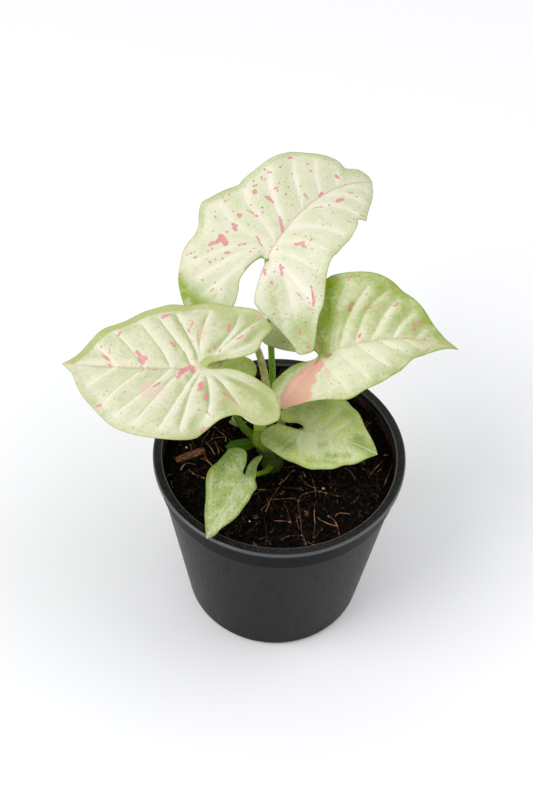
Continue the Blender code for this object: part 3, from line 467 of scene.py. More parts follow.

# %% [markdown]
# ## Flecks and patches
# The pale leaves are flecked with pink as if a brush had been flicked over them, and each fleck is
# different, so they can't come from a repeating pattern. They were read one at a time on an enlarged cut
# of the photo for each leaf, and stand here as they were read: a short thick stroke between two points of
# its cut, or one point for a dot. The biggest ones are strokes that overlap. `pale` and `brown` are the
# faded and the brownish ones, and `patch_of` is the outline of the one big patch.

# %% Flecks as they were read in the photo
CUTS = {  # the cut's left and top edge in the photo's pixels, and how many times it was enlarged
    "leaf_top": (170, 140, 7.127), "leaf_left": (50, 290, 6.272), "leaf_right": (265, 260, 7.84)}
READ = {  # x and y of both ends and the width, or x, y and the width of a dot, in the cut's pixels
    "leaf_top": dict(
        pink=[(365, 700, 395, 730, 46), (285, 750, 360, 715, 26), (450, 600, 465, 640, 30),
              (485, 543, 497, 547, 28), (545, 500, 580, 515, 12), (580, 515, 615, 545, 16),
              (672, 402, 700, 415, 14), (700, 418, 730, 440, 32), (596, 368, 606, 380, 28),
              (590, 332, 620, 325, 10), (650, 262, 645, 275, 10), (648, 278, 665, 295, 10),
              (703, 225, 707, 232, 20), (838, 125, 868, 120, 14), (735, 350, 757, 343, 14),
              (778, 545, 790, 580, 18), (788, 580, 802, 650, 28), (900, 745, 950, 735, 26),
              (935, 745, 958, 765, 26), (1185, 442, 1228, 430, 20), (1020, 490, 1082, 480, 12),
              (1065, 400, 1082, 378, 16), (958, 390, 978, 425, 12), (1000, 228, 18),
              (1185, 258, 1192, 272, 20), (1270, 382, 1298, 390, 10), (617, 695, 648, 752, 18),
              (495, 748, 560, 740, 12), (583, 770, 618, 774, 9), (615, 795, 645, 802, 9),
              (390, 810, 428, 797, 16), (278, 868, 292, 873, 18), (120, 818, 178, 802, 12),
              (172, 840, 192, 830, 9), (787, 900, 795, 930, 18), (795, 930, 798, 965, 20),
              (670, 915, 676, 958, 16), (724, 1022, 727, 1030, 18), (902, 1085, 925, 1118, 14),
              (1005, 1050, 1020, 1100, 12), (1020, 1100, 1025, 1175, 20), (985, 1205, 1000, 1200, 8),
              (1000, 1200, 1015, 1212, 10), (918, 1340, 928, 1390, 16), (980, 1475, 990, 1490, 18),
              (937, 1038, 12), (967, 1322, 14), (878, 1155, 12), (843, 1160, 10),
              (292, 1080, 308, 1060, 12), (300, 1138, 325, 1100, 10), (398, 1135, 9),
              (90, 984, 112, 980, 10), (253, 1000, 12), (183, 922, 10), (405, 655, 18),
              (375, 422, 405, 408, 10), (380, 458, 402, 435, 12), (545, 605, 562, 618, 12), (590, 560, 10),
              (667, 612, 12), (695, 683, 12), (755, 595, 12), (863, 530, 12), (833, 467, 14),
              (998, 720, 1015, 705, 12), (1037, 708, 10), (870, 765, 12), (1145, 810, 12), (1215, 690, 10),
              (1237, 562, 12), (1258, 588, 1278, 593, 10), (1365, 532, 1388, 532, 10), (1298, 520, 10),
              (1347, 490, 10), (975, 168, 987, 170, 12), (1090, 140, 1105, 132, 8), (828, 277, 14),
              (810, 305, 10), (882, 305, 10), (270, 792, 12), (225, 830, 10), (400, 887, 10),
              (465, 1037, 12), (752, 942, 12), (802, 910, 815, 915, 9), (1097, 1000, 12), (755, 1175, 10),
              (820, 1330, 14), (803, 1280, 812, 1297, 10), (655, 525, 12), (748, 535, 10)],
    ),
    "leaf_left": dict(
        pink=[(712, 175, 735, 165, 26), (735, 163, 765, 162, 12), (435, 280, 450, 262, 14), (325, 355, 14),
              (340, 420, 370, 445, 18), (375, 473, 383, 490, 12), (376, 375, 380, 405, 8), (445, 413, 10),
              (548, 390, 562, 410, 24), (565, 415, 580, 455, 28), (585, 425, 605, 432, 20), (515, 455, 10),
              (570, 508, 610, 492, 12), (652, 510, 672, 497, 10), (757, 332, 785, 358, 14), (740, 345, 8),
              (862, 322, 885, 318, 9), (880, 240, 895, 205, 12), (868, 250, 880, 272, 10), (965, 202, 12),
              (1118, 258, 1128, 225, 18), (1175, 302, 1206, 290, 14), (1256, 243, 1275, 233, 12),
              (1258, 265, 12), (1285, 155, 1297, 165, 12), (1305, 185, 1330, 172, 9),
              (1362, 304, 1388, 300, 10), (1034, 355, 1042, 370, 12), (1060, 385, 1070, 372, 9),
              (890, 490, 835, 508, 40), (835, 505, 800, 550, 26), (890, 508, 900, 515, 22),
              (955, 590, 945, 635, 28), (925, 590, 935, 600, 12), (980, 690, 990, 655, 26), (943, 550, 10),
              (1082, 645, 1110, 665, 20), (1110, 665, 1165, 710, 12), (1172, 540, 10), (1203, 587, 12),
              (1190, 658, 12), (1078, 708, 12), (1225, 733, 10), (1098, 765, 10), (1067, 757, 10),
              (988, 768, 998, 782, 14), (948, 875, 970, 860, 20), (728, 700, 738, 718, 10), (720, 757, 12),
              (840, 770, 850, 748, 8), (673, 850, 12), (340, 662, 14), (297, 740, 325, 725, 16),
              (347, 807, 12), (885, 605, 10), (823, 425, 10), (885, 437, 10), (923, 405, 10),
              (1402, 715, 12)],
        pale=[(950, 245, 945, 300, 40), (600, 610, 620, 650, 70), (650, 660, 690, 620, 46)],
        brown=[(655, 608, 682, 593, 20)],
    ),
    "leaf_right": dict(
        pink=[(658, 155, 668, 132, 18), (707, 115, 14), (555, 150, 12), (557, 215, 12), (748, 268, 12),
              (865, 262, 878, 260, 18), (972, 272, 12), (785, 378, 796, 378, 22), (820, 380, 828, 370, 18),
              (905, 352, 18), (1022, 360, 1038, 340, 20), (1073, 370, 16), (643, 548, 20),
              (738, 608, 752, 580, 18), (587, 600, 14), (962, 568, 16), (1157, 555, 1170, 537, 22),
              (1190, 490, 1222, 488, 10), (1215, 478, 1220, 500, 9), (1100, 618, 1135, 625, 12),
              (1247, 620, 14), (1225, 653, 12), (1350, 652, 1428, 665, 10), (1268, 700, 1295, 692, 10),
              (1200, 697, 14), (422, 655, 435, 695, 18), (452, 625, 12), (507, 322, 12), (457, 500, 12),
              (1340, 570, 12), (655, 965, 10), (585, 970, 598, 962, 8)],
        pale=[(480, 870, 500, 930, 36), (428, 1020, 436, 1030, 30)],
        patch_of=[(440, 768), (470, 831), (400, 909), (408, 956), (353, 1019), (376, 1058), (329, 1113),
                  (133, 1168), (110, 1058), (274, 878), (361, 800)],
        brown=[(660, 395, 680, 345, 34), (480, 748, 505, 750, 38)],
    ),
}
for name, kinds in READ.items():
    print(name, "read:", {kind: len(readings) for kind, readings in kinds.items()})

# %% [markdown]
# ## Shade, cream and a few marks in millimetres
# The broad greener areas (`shade`) and paler ones (`cream`) have no edge that could be read. Each is a
# stroke on the flat blade in millimetres, along and across the midrib, with how far it reaches and how
# strong it is. Most are the leaves' own colour, but a few `shade` strokes are partly painted shade where
# one leaf shadows another, and one `cream` stroke is painted light. They were set one by one, and so were
# a few small brown marks. The patch of the small leaf was first read in the photo, and half of its points
# were then moved.

# %% Soft areas on the flat blades
MARKS = {
    "leaf_top": dict(
        shade=[(-31, 14, -27, 26, 4.5, 0.9), (-29, -29, -22, -24, 7, 0.6), (-11, -8, -25, -16, 4.5, 0.5),
               (-9, 4.6, -1, 2, 1.1, 1.0), (62, 8, 72, 6, 4, 0.3)],
    ),
    "leaf_left": dict(
        # The last shade stroke is a thin painted shadow in the sinus, under the upper lobe's edge.
        shade=[(-6, -24, -22, -19, 6, 0.45), (-27, 12, -16, 12, 7, 0.7), (-22, 21, -15, 19, 6, 0.6),
               (-0.5, -0.5, -4, -1.8, 0.6, 0.8)],
        cream=[(22, 12, 42, 5, 7, 0.15)],
    ),
    "leaf_right": dict(
        # The first two shade strokes are partly the leaf's own green and partly a painted shadow of the top
        # leaf above it. The last cream stroke is painted light on the lobe that lies in shadow under the top
        # leaf.
        shade=[(1, 2, 7, 13, 5, 0.78), (7, 13, 12, 27, 5.5, 0.82), (-15, 18, -9, 9, 6, 0.3),
               (20, 29, 40, 15, 4, 0.4), (-20, -3, -8, 1, 4, 0.6), (20, 7, 28, 20, 2.5, 0.3)],
        cream=[(4, -6, 30, -6, 8, 0.85), (2, -15, 18, -13, 7, 0.85), (34, -4, 48, -2, 4, 0.5),
               (-15, 18, -10, 10, 6, 0.55)],
        brown=[(-11, 12, -10, 11.5, 0.4), (-13.5, 13, 0.3), (-12, 9.5, 0.3), (-15, 16.5, 0.3),
               (-9, 10, 0.3), (-1, -1.2, -5, -3.6, 0.3), (-2.5, -3.5, -8, -8.5, 0.15)],
    ),
    "leaf_small_right": dict(
        # The first two shade strokes are partly the leaf's own green and partly painted shade where the
        # leaves above shadow its lobe and the part near the stalk.
        shade=[(-13, -8, -5, -10, 4.5, 0.9), (-6, 7, 2, 13, 4, 0.6), (14, 12, 22, 6, 3, 0.4),
               (22, 2, 30, -1, 4.5, 0.9), (6, -15, 16, -12, 1.5, 0.5), (12, -10, 15, -9, 1.5, 0.6),
               (18, -8, 20, -6, 1.4, 0.5), (8, -7, 10, -5, 1.2, 0.4)],
        cream=[(9, -7, 20, -4, 5.5, 0.8)],
        patch_of=[(-1.8, -4), (-0.8, -8), (1.8, -11.3), (5, -12.8), (7.5, -11), (7, -6), (4.5, -2),
                  (-1, -0.9)],
        brown=[(-9, -7.5, 0.4)]),
    "leaf_small_front": dict(
        shade=[(-8, -9, 2, -10, 3, 0.6), (-8, -6, -3, -4, 2, 0.2), (6, -8, 10, -7, 1.5, 0.4),
               (12, -2, 15, -3, 1.2, 0.3), (8, 9, 18, 6, 1.2, 0.3), (22, -1, 26, -1, 1.2, 0.3),
               (-10, 1, -2, 3, 3, 1.0)]),
    "leaf_behind": dict(shade=[(-8, -8, 0, -12, 9, 0.5), (-8, 6, 10, 12, 7, 0.5)]),
}
print("soft areas:", sum(len(m.get("shade", ())) + len(m.get("cream", ())) for m in MARKS.values()))

# %% [markdown]
# ## The flat blade
# A leaf's veins show because the surface changes direction sharply along them, so the mesh needs points
# exactly on each vein and none that bridge it. A subdivided outline would cross them anywhere. Instead a
# constrained triangulation fills each half between its margin and its veins with even triangles. The two
# halves meet in shared points on the midrib.

# %% Lines on the blade
STEP = 0.62             # how far apart the blade's points are, in millimetres


def smooth_path(points, per_span):
    """More points between the given ones, on a smooth curve through all of them."""
    p = np.asarray(points, float)
    p = np.vstack([2 * p[0] - p[1], p, 2 * p[-1] - p[-2]])
    out = []
    for a, b, c, d in zip(p[:-3], p[1:-2], p[2:-1], p[3:]):
        for k in range(per_span):
            t = k / per_span
            out.append(0.5 * (2 * b + (c - a) * t + (2 * a - 5 * b + 4 * c - d) * t * t
                              + (3 * b - a - 3 * c + d) * t ** 3))
    out.append(p[-2])
    return np.array(out)


def even(path, spacing):
    """The path with its points evenly spread."""
    length = np.concatenate([[0], np.cumsum(np.sqrt((np.diff(path, axis=0) ** 2).sum(1)))])
    s = np.linspace(0, length[-1], max(2, int(round(length[-1] / spacing)) + 1))
    return np.stack([np.interp(s, length, path[:, k]) for k in range(path.shape[1])], -1)


def distance(points, path):
    """How far each point lies from a line of points."""
    path = np.asarray(path, float)
    a, ab = path[:-1], path[1:] - path[:-1]
    best = np.full(len(points), 1e9)
    for start, span in zip(a, ab):
        t = np.clip((points - start) @ span / max(span @ span, 1e-12), 0, 1)
        best = np.minimum(best, ((points - start - t[:, None] * span) ** 2).sum(1))
    return np.sqrt(best)


# %% Fill one half of a blade with triangles
CLEAR = 0.62            # no inner point is nearer to a line than this share of the spacing


def flat_half(leaf, side, step):
    """One half of a flat blade: its points, its triangles, its margin and its veins."""
    end = (leaf["length"], 0.0)
    back = (leaf["left"][0][0] * 0.6, 0.0)
    margin = even(smooth_path([back] + list(leaf["left" if side > 0 else "right"]) + [end], 8), step)
    veins = [even(smooth_path(v, 5), step) for v in leaf["veins"] if v[-1][1] * side > 0]
    stops = sorted({round(back[0], 3), leaf["length"], *(float(v[0][0]) for v in leaf["veins"])})
    spine = np.concatenate([np.linspace(a, b, max(1, round((b - a) / step)) + 1)[:-1]
                            for a, b in zip(stops[:-1], stops[1:])])[1:]
    spine = np.stack([spine, 0 * spine], -1)
    outline = np.vstack([margin, spine[::-1]])
    low, high = outline.min(0), outline.max(0)
    rows = np.arange(low[1], high[1], step * 0.866)
    grid = np.array([(x + (k % 2) * step / 2, y) for k, y in enumerate(rows)
                     for x in np.arange(low[0], high[0], step)])
    keep = distance(grid, np.vstack([outline, outline[:1]])) > CLEAR * step
    for vein in veins:
        keep &= distance(grid, vein) > CLEAR * step
    points = [Vector(p) for p in outline]
    edges = []
    for vein in veins:
        first = len(points)
        points += [Vector(p) for p in vein]
        edges += [(first + k, first + k + 1) for k in range(len(vein) - 1)]
    points += [Vector(p) for p in grid[keep]]
    flat, _, faces, *_ = delaunay_2d_cdt(points, edges, [list(range(len(outline)))], 1, 0.02)
    used, faces = np.unique(np.array([f for f in faces if len(f) == 3]), return_inverse=True)
    flat = np.array([tuple(flat[k]) for k in used])
    return flat, faces.reshape(-1, 3), margin, veins


# %% Both halves, two layers and a rim
def flat_blade(name, leaf, step):
    """The whole blade as a closed flat shell. Its points carry what the tree and the material read."""
    halves = [flat_half(leaf, side, step) for side in (1, -1)]
    flat = np.vstack([h[0] for h in halves])
    side = np.concatenate([np.full(len(h[0]), s) for h, s in zip(halves, (1.0, -1.0))])
    faces = np.vstack([halves[0][1], halves[1][1] + len(halves[0][0])])
    on_spine = np.abs(flat[:, 1]) < 1e-4
    key = np.round(np.column_stack([flat, np.where(on_spine, 0, side)]), 3)
    _, first, index = np.unique(key, axis=0, return_index=True, return_inverse=True)
    flat, side, faces = flat[first], side[first], index.ravel()[faces]
    corners = flat[faces]
    wide, tall = corners[:, 1] - corners[:, 0], corners[:, 2] - corners[:, 0]
    turned = wide[:, 0] * tall[:, 1] - wide[:, 1] * tall[:, 0] < 0
    faces[turned] = faces[turned][:, ::-1]
    faces = faces[(faces[:, 0] != faces[:, 1]) & (faces[:, 1] != faces[:, 2]) & (faces[:, 0] != faces[:, 2])]

    edges = {tuple(e) for f in faces for e in zip(f, np.roll(f, -1))}
    rim = [e for e in edges if (e[1], e[0]) not in edges]
    count = len(flat)
    shell = [tuple(f) for f in faces] + [tuple(f[::-1] + count) for f in faces]
    shell += [(a, a + count, b + count, b) for a, b in rim]
    mesh = bpy.data.meshes.new(name)
    mesh.from_pydata([(u * MM, v * MM, 0) for u, v in flat] * 2, [], shell)

    to_vein, to_margin = np.full(count, 50.0), np.zeros(count)
    for half, s in zip(halves, (1, -1)):
        mine = side == s
        to_margin[mine] = distance(flat[mine], half[2])
        for vein in half[3]:
            to_vein[mine] = np.minimum(to_vein[mine], distance(flat[mine], vein))
    middle = distance(flat, [(0.0, 0.0), (leaf["length"], 0.0)])
    around = np.arctan2(flat[:, 1], flat[:, 0] - 0.2 * leaf["length"])
    ripple = np.sin(7 * around + 1.3 * leaf["length"]) + 0.6 * np.sin(12 * around + leaf["turn"])
    ripple *= np.exp(-to_margin / (0.09 * leaf["length"])) * np.clip(np.abs(flat[:, 1]) / 6, 0, 1)
    values = dict(side=side, along=flat[:, 0], across=flat[:, 1], to_vein=to_vein, to_middle=middle,
                  to_margin=to_margin, ripple=ripple, under=np.zeros(count))
    values.update(marks_of(name, flat))
    # A greener band along the margin that fades on the lobes: partly the leaf's own green and partly painted
    # shade where the margin curls down away from the light.
    width, *strength = leaf["band"]
    ahead = np.clip((flat[:, 0] + 12) / 10, 0, 1)          # the band fades on the lobes
    margin_green_and_shade = ahead * np.where(side > 0, *strength) * np.exp(-(to_margin / width) ** 14)
    values["greener"] = np.maximum(values["greener"], margin_green_and_shade)
    for label, data in values.items():
        data = np.concatenate([data, np.ones(count) if label == "under" else data])
        mesh.attributes.new(label, "FLOAT", "POINT").data.foreach_set("value", data)
    return mesh


# %% How far each point is from the nearest fleck
FAR = 9.0               # the distance for a leaf that has no such mark


def stroke_distance(flat, strokes):
    """Distance to the nearest stroke's edge, negative inside it."""
    best = np.full(len(flat), FAR)
    for stroke in strokes:
        start, end = np.array(stroke[:2], float), np.array(stroke[-3:-1], float)
        best = np.minimum(best, distance(flat, np.array([start, end])) - stroke[-1])
    return best


def inside(flat, outline):
    """Distance to an outline, negative inside it."""
    outline = np.asarray(outline, float)
    x, y = flat[:, 0], flat[:, 1]
    within = np.zeros(len(flat), bool)
    for (ax, ay), (bx, by) in zip(outline, np.roll(outline, -1, 0)):
        crosses = (ay > y) != (by > y)
        within ^= crosses & (x < (bx - ax) * (y - ay) / (by - ay + 1e-12) + ax)
    return distance(flat, np.vstack([outline, outline[:1]])) * np.where(within, -1, 1)


def zone(flat, strokes):
    """How strongly the broad soft strokes cover each point."""
    strength = np.zeros(len(flat))
    for x1, y1, x2, y2, reach, amount in strokes:
        near = distance(flat, np.array([(x1, y1), (x2, y2)], float))
        strength = np.maximum(strength, amount * np.exp(-(near / reach) ** 2))
    return strength


def marks_of(name, flat):
    """Everything about flecks, patches and soft areas that a leaf's points carry."""
    marks = MARKS.get(name, {})
    values = {kind: stroke_distance(flat, marks.get(kind, ())) for kind in ("pink", "pale", "brown")}
    has_patch = "patch_of" in marks
    values["salmon"] = inside(flat, marks["patch_of"]) if has_patch else np.full(len(flat), FAR)
    values["greener"], values["paler"] = (zone(flat, marks.get(kind, ())) for kind in ("shade", "cream"))
    return values


# %% [markdown]
# ## The blade's tree
# The rule that shapes a blade: a point at `along` and `across` on the flat blade moves to the same
# distance along the arched midrib, then out from it on a curve that starts at the fold angle and bends
# back down. Then it rises between the veins and sinks along them. Lattices or sculpting could bend a
# blade too, but with Geometry Nodes the rule stays visible, and each leaf is the same tree with its own
# numbers. The midrib is a curve, and the tree samples it by length.

# %% Tree that bends a flat blade
blade_tree, come, go = new_tree("bent_blade", "GeometryNodeTree", {
    "Blade": ("Geometry", None), "Midrib": ("Object", None), "Before": ("Float", 0.0),
    "Fold Left": ("Float", 0.3), "Fold Right": ("Float", 0.3), "Curl Left": ("Float", 0.005),
    "Curl Right": ("Float", 0.005), "Pucker": ("Float", 1.5), "Valley": ("Float", 4.2),
    "Wave": ("Float", 0.7), "Edge Band": ("Float", 5.0), "Thickness": ("Float", 0.6),
    "Rib": ("Float", 0.5), "Finish": ("Material", None)}, {"Geometry": "Geometry"})
t = blade_tree


def named(tree, name):
    """A value that the mesh's points carry, in Geometry Nodes."""
    return add(tree, "GeometryNodeInputNamedAttribute", {"Name": name}, data_type="FLOAT")


def switch(tree, condition, left, right):
    """left where the condition is above zero, else right."""
    return add(tree, "ShaderNodeMix", {0: calc(tree, "GREATER_THAN", condition, 0.0), 2: right, 3: left})


def bump_along(tree, near, width):
    """1 on a line and falling off to 0 beside it."""
    return calc(tree, "EXPONENT", times(tree, calc(tree, "POWER", over(tree, near, width), 2.0), -1.0))


midrib = add(t, "GeometryNodeObjectInfo", {"Object": come["Midrib"]}, 4)
midrib = add(t, "GeometryNodeMeshToCurve", {0: midrib})
length = times(t, plus(t, named(t, "along"), come["Before"]), MM)
sample = t.nodes.new("GeometryNodeSampleCurve")
sample.mode = "LENGTH"
t.links.new(midrib, sample.inputs["Curves"])
t.links.new(length, sample.inputs["Length"])
tangent = sample.outputs["Tangent"]
leftward = vec(t, "NORMALIZE", vec(t, "CROSS_PRODUCT", (0, 0, 1), tangent))
upward = vec(t, "CROSS_PRODUCT", tangent, leftward)
side = named(t, "side")
fold = switch(t, side, come["Fold Left"], come["Fold Right"])
curl = switch(t, side, come["Curl Left"], come["Curl Right"])
out_from = times(t, side, named(t, "across"))
angle = minus(t, fold, times(t, curl, out_from))
sin_angle, cos_angle = calc(t, "SINE", angle), calc(t, "COSINE", angle)
outward = over(t, minus(t, calc(t, "SINE", fold), sin_angle), curl)
rise = over(t, minus(t, cos_angle, calc(t, "COSINE", fold)), curl)

# %% Tree: relief, thickness and ribs
to_vein, to_middle, to_margin = (named(t, n) for n in ("to_vein", "to_middle", "to_margin"))
nearest = calc(t, "MINIMUM", to_vein, to_middle)
pillow = calc(t, "EXPONENT", over(t, times(t, nearest, -3.0), come["Valley"]))
pillow = minus(t, 1.0, pillow)
band = ramp(t, to_margin, times(t, come["Edge Band"], 0.4), times(t, come["Edge Band"], 1.5))
relief = times(t, times(t, pillow, band), come["Pucker"])
relief = plus(t, relief, times(t, named(t, "ripple"), come["Wave"]))
thin = ramp(t, to_margin, 0.0, 2.0, 0.5, 1.0)
rib_middle = bump_along(t, to_middle, 0.7)
rib_vein = bump_along(t, to_vein, 0.5)
taper = ramp(t, to_margin, 0.0, 12.0)
ribs = plus(t, rib_middle, times(t, rib_vein, 0.45))
ribs = times(t, times(t, ribs, taper), come["Rib"])
deep = plus(t, times(t, thin, come["Thickness"]), ribs)
lift = minus(t, relief, times(t, named(t, "under"), deep))
outward = minus(t, outward, times(t, lift, sin_angle))
rise = plus(t, rise, times(t, lift, cos_angle))
place = vec(t, "SCALE", leftward)
t.links.new(times(t, times(t, outward, side), MM), place.node.inputs["Scale"])
high = vec(t, "SCALE", upward)
t.links.new(times(t, rise, MM), high.node.inputs["Scale"])
place = vec(t, "ADD", vec(t, "ADD", sample.outputs["Position"], place), high)
bent = add(t, "GeometryNodeSetPosition", {"Geometry": come["Blade"], "Position": place})
end_tree(t, bent, come["Finish"], go["Geometry"])
print("blade tree:", len(t.nodes), "nodes")

# %% [markdown]
# ## What a leaf looks like up close
# The blades are cream where the green is missing, pale green elsewhere and greener along the margin,
# partly as painted shade. The veins are a fine cream line, and the midrib is a thin pinkish one. The flecks
# have crisp, slightly ragged edges. Where a blade turns away from the key light it is painted greener, a
# painted shade. Everything that follows the leaf reads the values that the mesh carries, so it sits on the
# blade and bends with it. The underside is duller, with the flecks showing faintly through.

# %% Leaf colour block
blade_look, come, go = new_tree("blade_look", "ShaderNodeTree", {
    "Cream": ("Color", None), "Pale": ("Color", None), "Deep": ("Color", None), "Vein": ("Color", None),
    "Midrib": ("Color", None), "Under": ("Color", None), "Greenness": ("Float", 0.5), "Dots": ("Float", 1.0),
    "Lee": ("Float", 0.4), "Line": ("Float", 0.5), "Satin": ("Float", 0.36), "Patch": ("Color", None),
    "Seed": ("Float", 0.0)},
    {"Colour": "Color", "Roughness": "Float", "Height": "Float"})
t = blade_look
LIGHT_WAY = (-0.55, -0.25, 0.8)      # the way the blades face the key light; turned away from it they are painted greener, a painted shade
PINK, PALE_PINK, BROWN_PINK = tone(216, 120, 134), tone(226, 190, 178), tone(168, 108, 94)


def value_of(tree, name):
    """A value that the mesh's points carry, in a material."""
    return add(tree, "ShaderNodeAttribute", out=2, attribute_name=name)


along, across = value_of(t, "along"), value_of(t, "across")
place = add(t, "ShaderNodeCombineXYZ", {0: along, 1: across, 2: come["Seed"]})
ragged = add(t, "ShaderNodeTexNoise", {"Vector": place, "Scale": 0.9, "Detail": 4.0, "Roughness": 0.6})
ragged = times(t, minus(t, ragged, 0.5), 1.5)


def inside_mark(tree, name, soft, wobble=1.0):
    """1 inside a fleck and 0 outside, with a ragged edge."""
    at = plus(tree, value_of(tree, name), times(tree, ragged, wobble))
    return ramp(tree, at, -soft, soft, 1.0, 0.0)


to_vein, to_middle, to_margin = (value_of(t, n) for n in ("to_vein", "to_middle", "to_margin"))
nearest = calc(t, "MINIMUM", to_vein, to_middle)
broad = patches_only(t, place, 9.0, 0.22)
fine = patches_only(t, place, 1.6, 0.16)
swell = ramp(t, nearest, 0.3, 3.5)
green = times(t, plus(t, times(t, broad, 0.6), times(t, swell, 0.3)), come["Greenness"])
grit = add(t, "ShaderNodeTexNoise", {"Vector": place, "Scale": 1.3, "Detail": 3.0, "Roughness": 0.6})
green = plus(t, green, times(t, times(t, fine, swell), 0.24))
green = plus(t, green, ramp(t, grit, 0.3, 0.7, -0.09, 0.09))
# Where a blade turns away from the key light it is painted greener: a painted shade on top of the real
# shading.
facing_light = vec(t, "DOT_PRODUCT", add(t, "ShaderNodeTexCoord", out=1), LIGHT_WAY, out=1)
green = plus(t, green, times(t, ramp(t, facing_light, 0.95, 0.55), come["Lee"]))
green = times(t, add(t, "ShaderNodeClamp", {0: green}), minus(t, 1.0, value_of(t, "paler")))
colour = mix(t, green, come["Cream"], come["Pale"])
edge = times(t, calc(t, "EXPONENT", times(t, to_margin, -3.5)), 0.6)
deep = plus(t, value_of(t, "greener"), edge)
deep = times(t, deep, ramp(t, plus(t, broad, times(t, fine, 0.6)), -0.4, 1.2, 0.5, 1.2))
mottle = calc(t, "MAXIMUM", minus(t, come["Greenness"], 0.5), 0.0)
mottle = times(t, times(t, mottle, 0.75), ramp(t, grit, 0.48, 0.64))
deep = add(t, "ShaderNodeClamp", {0: plus(t, deep, mottle)})
colour = mix(t, deep, colour, come["Deep"])
line = calc(t, "EXPONENT", times(t, to_vein, -3.2))
line = times(t, times(t, line, ramp(t, to_margin, 1.0, 6.0)), come["Line"])
line = times(t, line, ramp(t, deep, 0.1, 0.8, 1.0, 0.15))
colour = mix(t, line, colour, come["Vein"])
stripe = times(t, ramp(t, to_middle, 0.1, 0.42, 1.0, 0.0), ramp(t, along, -1.0, 2.0))
colour = mix(t, times(t, stripe, 0.6), colour, come["Midrib"])

# %% Leaf colour block: flecks, dots and underside
cells = t.nodes.new("ShaderNodeTexVoronoi")
t.links.new(place, cells.inputs["Vector"])
cells.inputs["Scale"].default_value = 0.62
chance = add(t, "ShaderNodeSeparateColor", {0: cells.outputs["Color"]})
size = times(t, calc(t, "POWER", chance, 2.5), 0.31)
dot = calc(t, "LESS_THAN", plus(t, cells.outputs["Distance"], times(t, ragged, 0.05)), size)
dot = times(t, times(t, dot, calc(t, "GREATER_THAN", chance.node.outputs[1], 0.12)), come["Dots"])
dots_colour = mix(t, chance.node.outputs[2], PINK, BROWN_PINK)
marks = times(t, dot, 0.75)
colour = mix(t, marks, colour, dots_colour)
FLECKS = (      # the colour, how strong it is, how soft its edge is and how ragged
    ("pale", PALE_PINK, 0.75, 0.9, 2.8), ("salmon", come["Patch"], 0.95, 0.3, 2.2),
    ("pink", PINK, 0.92, 0.1, 1.2), ("brown", BROWN_PINK, 0.8, 0.2, 1.2))
for kind, tint, strength, soft, wobble in FLECKS:
    mark = times(t, inside_mark(t, kind, soft, wobble), strength)
    tinted = mix(t, times(t, plus(t, fine, broad), 0.22), tint, colour)
    colour = mix(t, mark, colour, tinted)
under = value_of(t, "under")
colour = mix(t, times(t, under, 0.72), colour, come["Under"])
t.links.new(colour, go["Colour"])
gloss = plus(t, come["Satin"], times(t, fine, 0.1))
t.links.new(plus(t, gloss, times(t, under, 0.2)), go["Roughness"])
net = t.nodes.new("ShaderNodeTexVoronoi")
net.feature = "DISTANCE_TO_EDGE"
t.links.new(place, net.inputs["Vector"])
net.inputs["Scale"].default_value = 0.6
cell = add(t, "ShaderNodeTexNoise", {"Vector": place, "Scale": 4.5, "Detail": 2.0})
height = plus(t, times(t, ramp(t, net.outputs["Distance"], 0.0, 0.15), 0.5), times(t, cell, 0.5))
t.links.new(height, go["Height"])


def leaf_material(name, seed, depth, greenness, dots, painted_shade, line, gloss, satin=0.36, **tones):
    """The leaf colour block with one leaf's own numbers and tones."""
    material, tree = new_material(name)
    look = tree.nodes.new("ShaderNodeGroup")
    look.node_tree = blade_look
    given = dict(tones, Seed=seed, Greenness=greenness, Dots=dots, Lee=painted_shade, Line=line, Satin=satin)
    for label, value in given.items():
        look.inputs[label].default_value = value
    return surface(material, look.outputs["Colour"], look.outputs["Roughness"], look.outputs["Height"], depth,
                   **gloss)


thin_leaf = dict(Subsurface_Weight=0.25, Subsurface_Radius=(1.0, 0.9, 0.35), Subsurface_Scale=0.0012,
                 Specular_IOR_Level=0.35)
TONES = {       # from cream to pale to deep green, the lines, the underside and the big patch
    "top": dict(Cream=tone(238, 231, 218), Pale=tone(200, 209, 162), Deep=tone(142, 166, 58),
                Vein=tone(246, 242, 230), Midrib=tone(204, 168, 132), Under=tone(196, 204, 150)),
    "left": dict(Cream=tone(224, 222, 198), Pale=tone(162, 174, 108), Deep=tone(176, 184, 118),
                 Vein=tone(240, 238, 222), Midrib=tone(208, 176, 148), Under=tone(160, 178, 84)),
    "right": dict(Cream=tone(228, 228, 200), Pale=tone(160, 174, 98), Deep=tone(132, 157, 10),
                  Vein=tone(234, 232, 206), Midrib=tone(204, 170, 136), Under=tone(176, 188, 124),
                  Patch=tone(228, 158, 146)),
    "small_right": dict(Cream=tone(216, 222, 176), Pale=tone(206, 221, 122), Deep=tone(144, 164, 84),
                        Vein=tone(232, 236, 206), Midrib=tone(220, 224, 188), Under=tone(160, 182, 118),
                        Patch=tone(220, 226, 184)),
    "small_front": dict(Cream=tone(212, 214, 178), Pale=tone(160, 178, 98), Deep=tone(108, 134, 50),
                        Vein=tone(222, 222, 194), Midrib=tone(214, 208, 178), Under=tone(160, 182, 118),
                        Patch=tone(212, 214, 180)),
    "behind": dict(Cream=tone(232, 236, 184), Pale=tone(208, 220, 136), Deep=tone(176, 196, 92),
                   Vein=tone(236, 240, 200), Midrib=tone(220, 224, 170), Under=tone(190, 210, 120)),
    "young": dict(Cream=tone(58, 98, 8), Pale=tone(42, 80, 3), Deep=tone(28, 56, 1),
                  Vein=tone(80, 110, 24), Midrib=tone(90, 120, 34), Under=tone(44, 72, 8)),
}
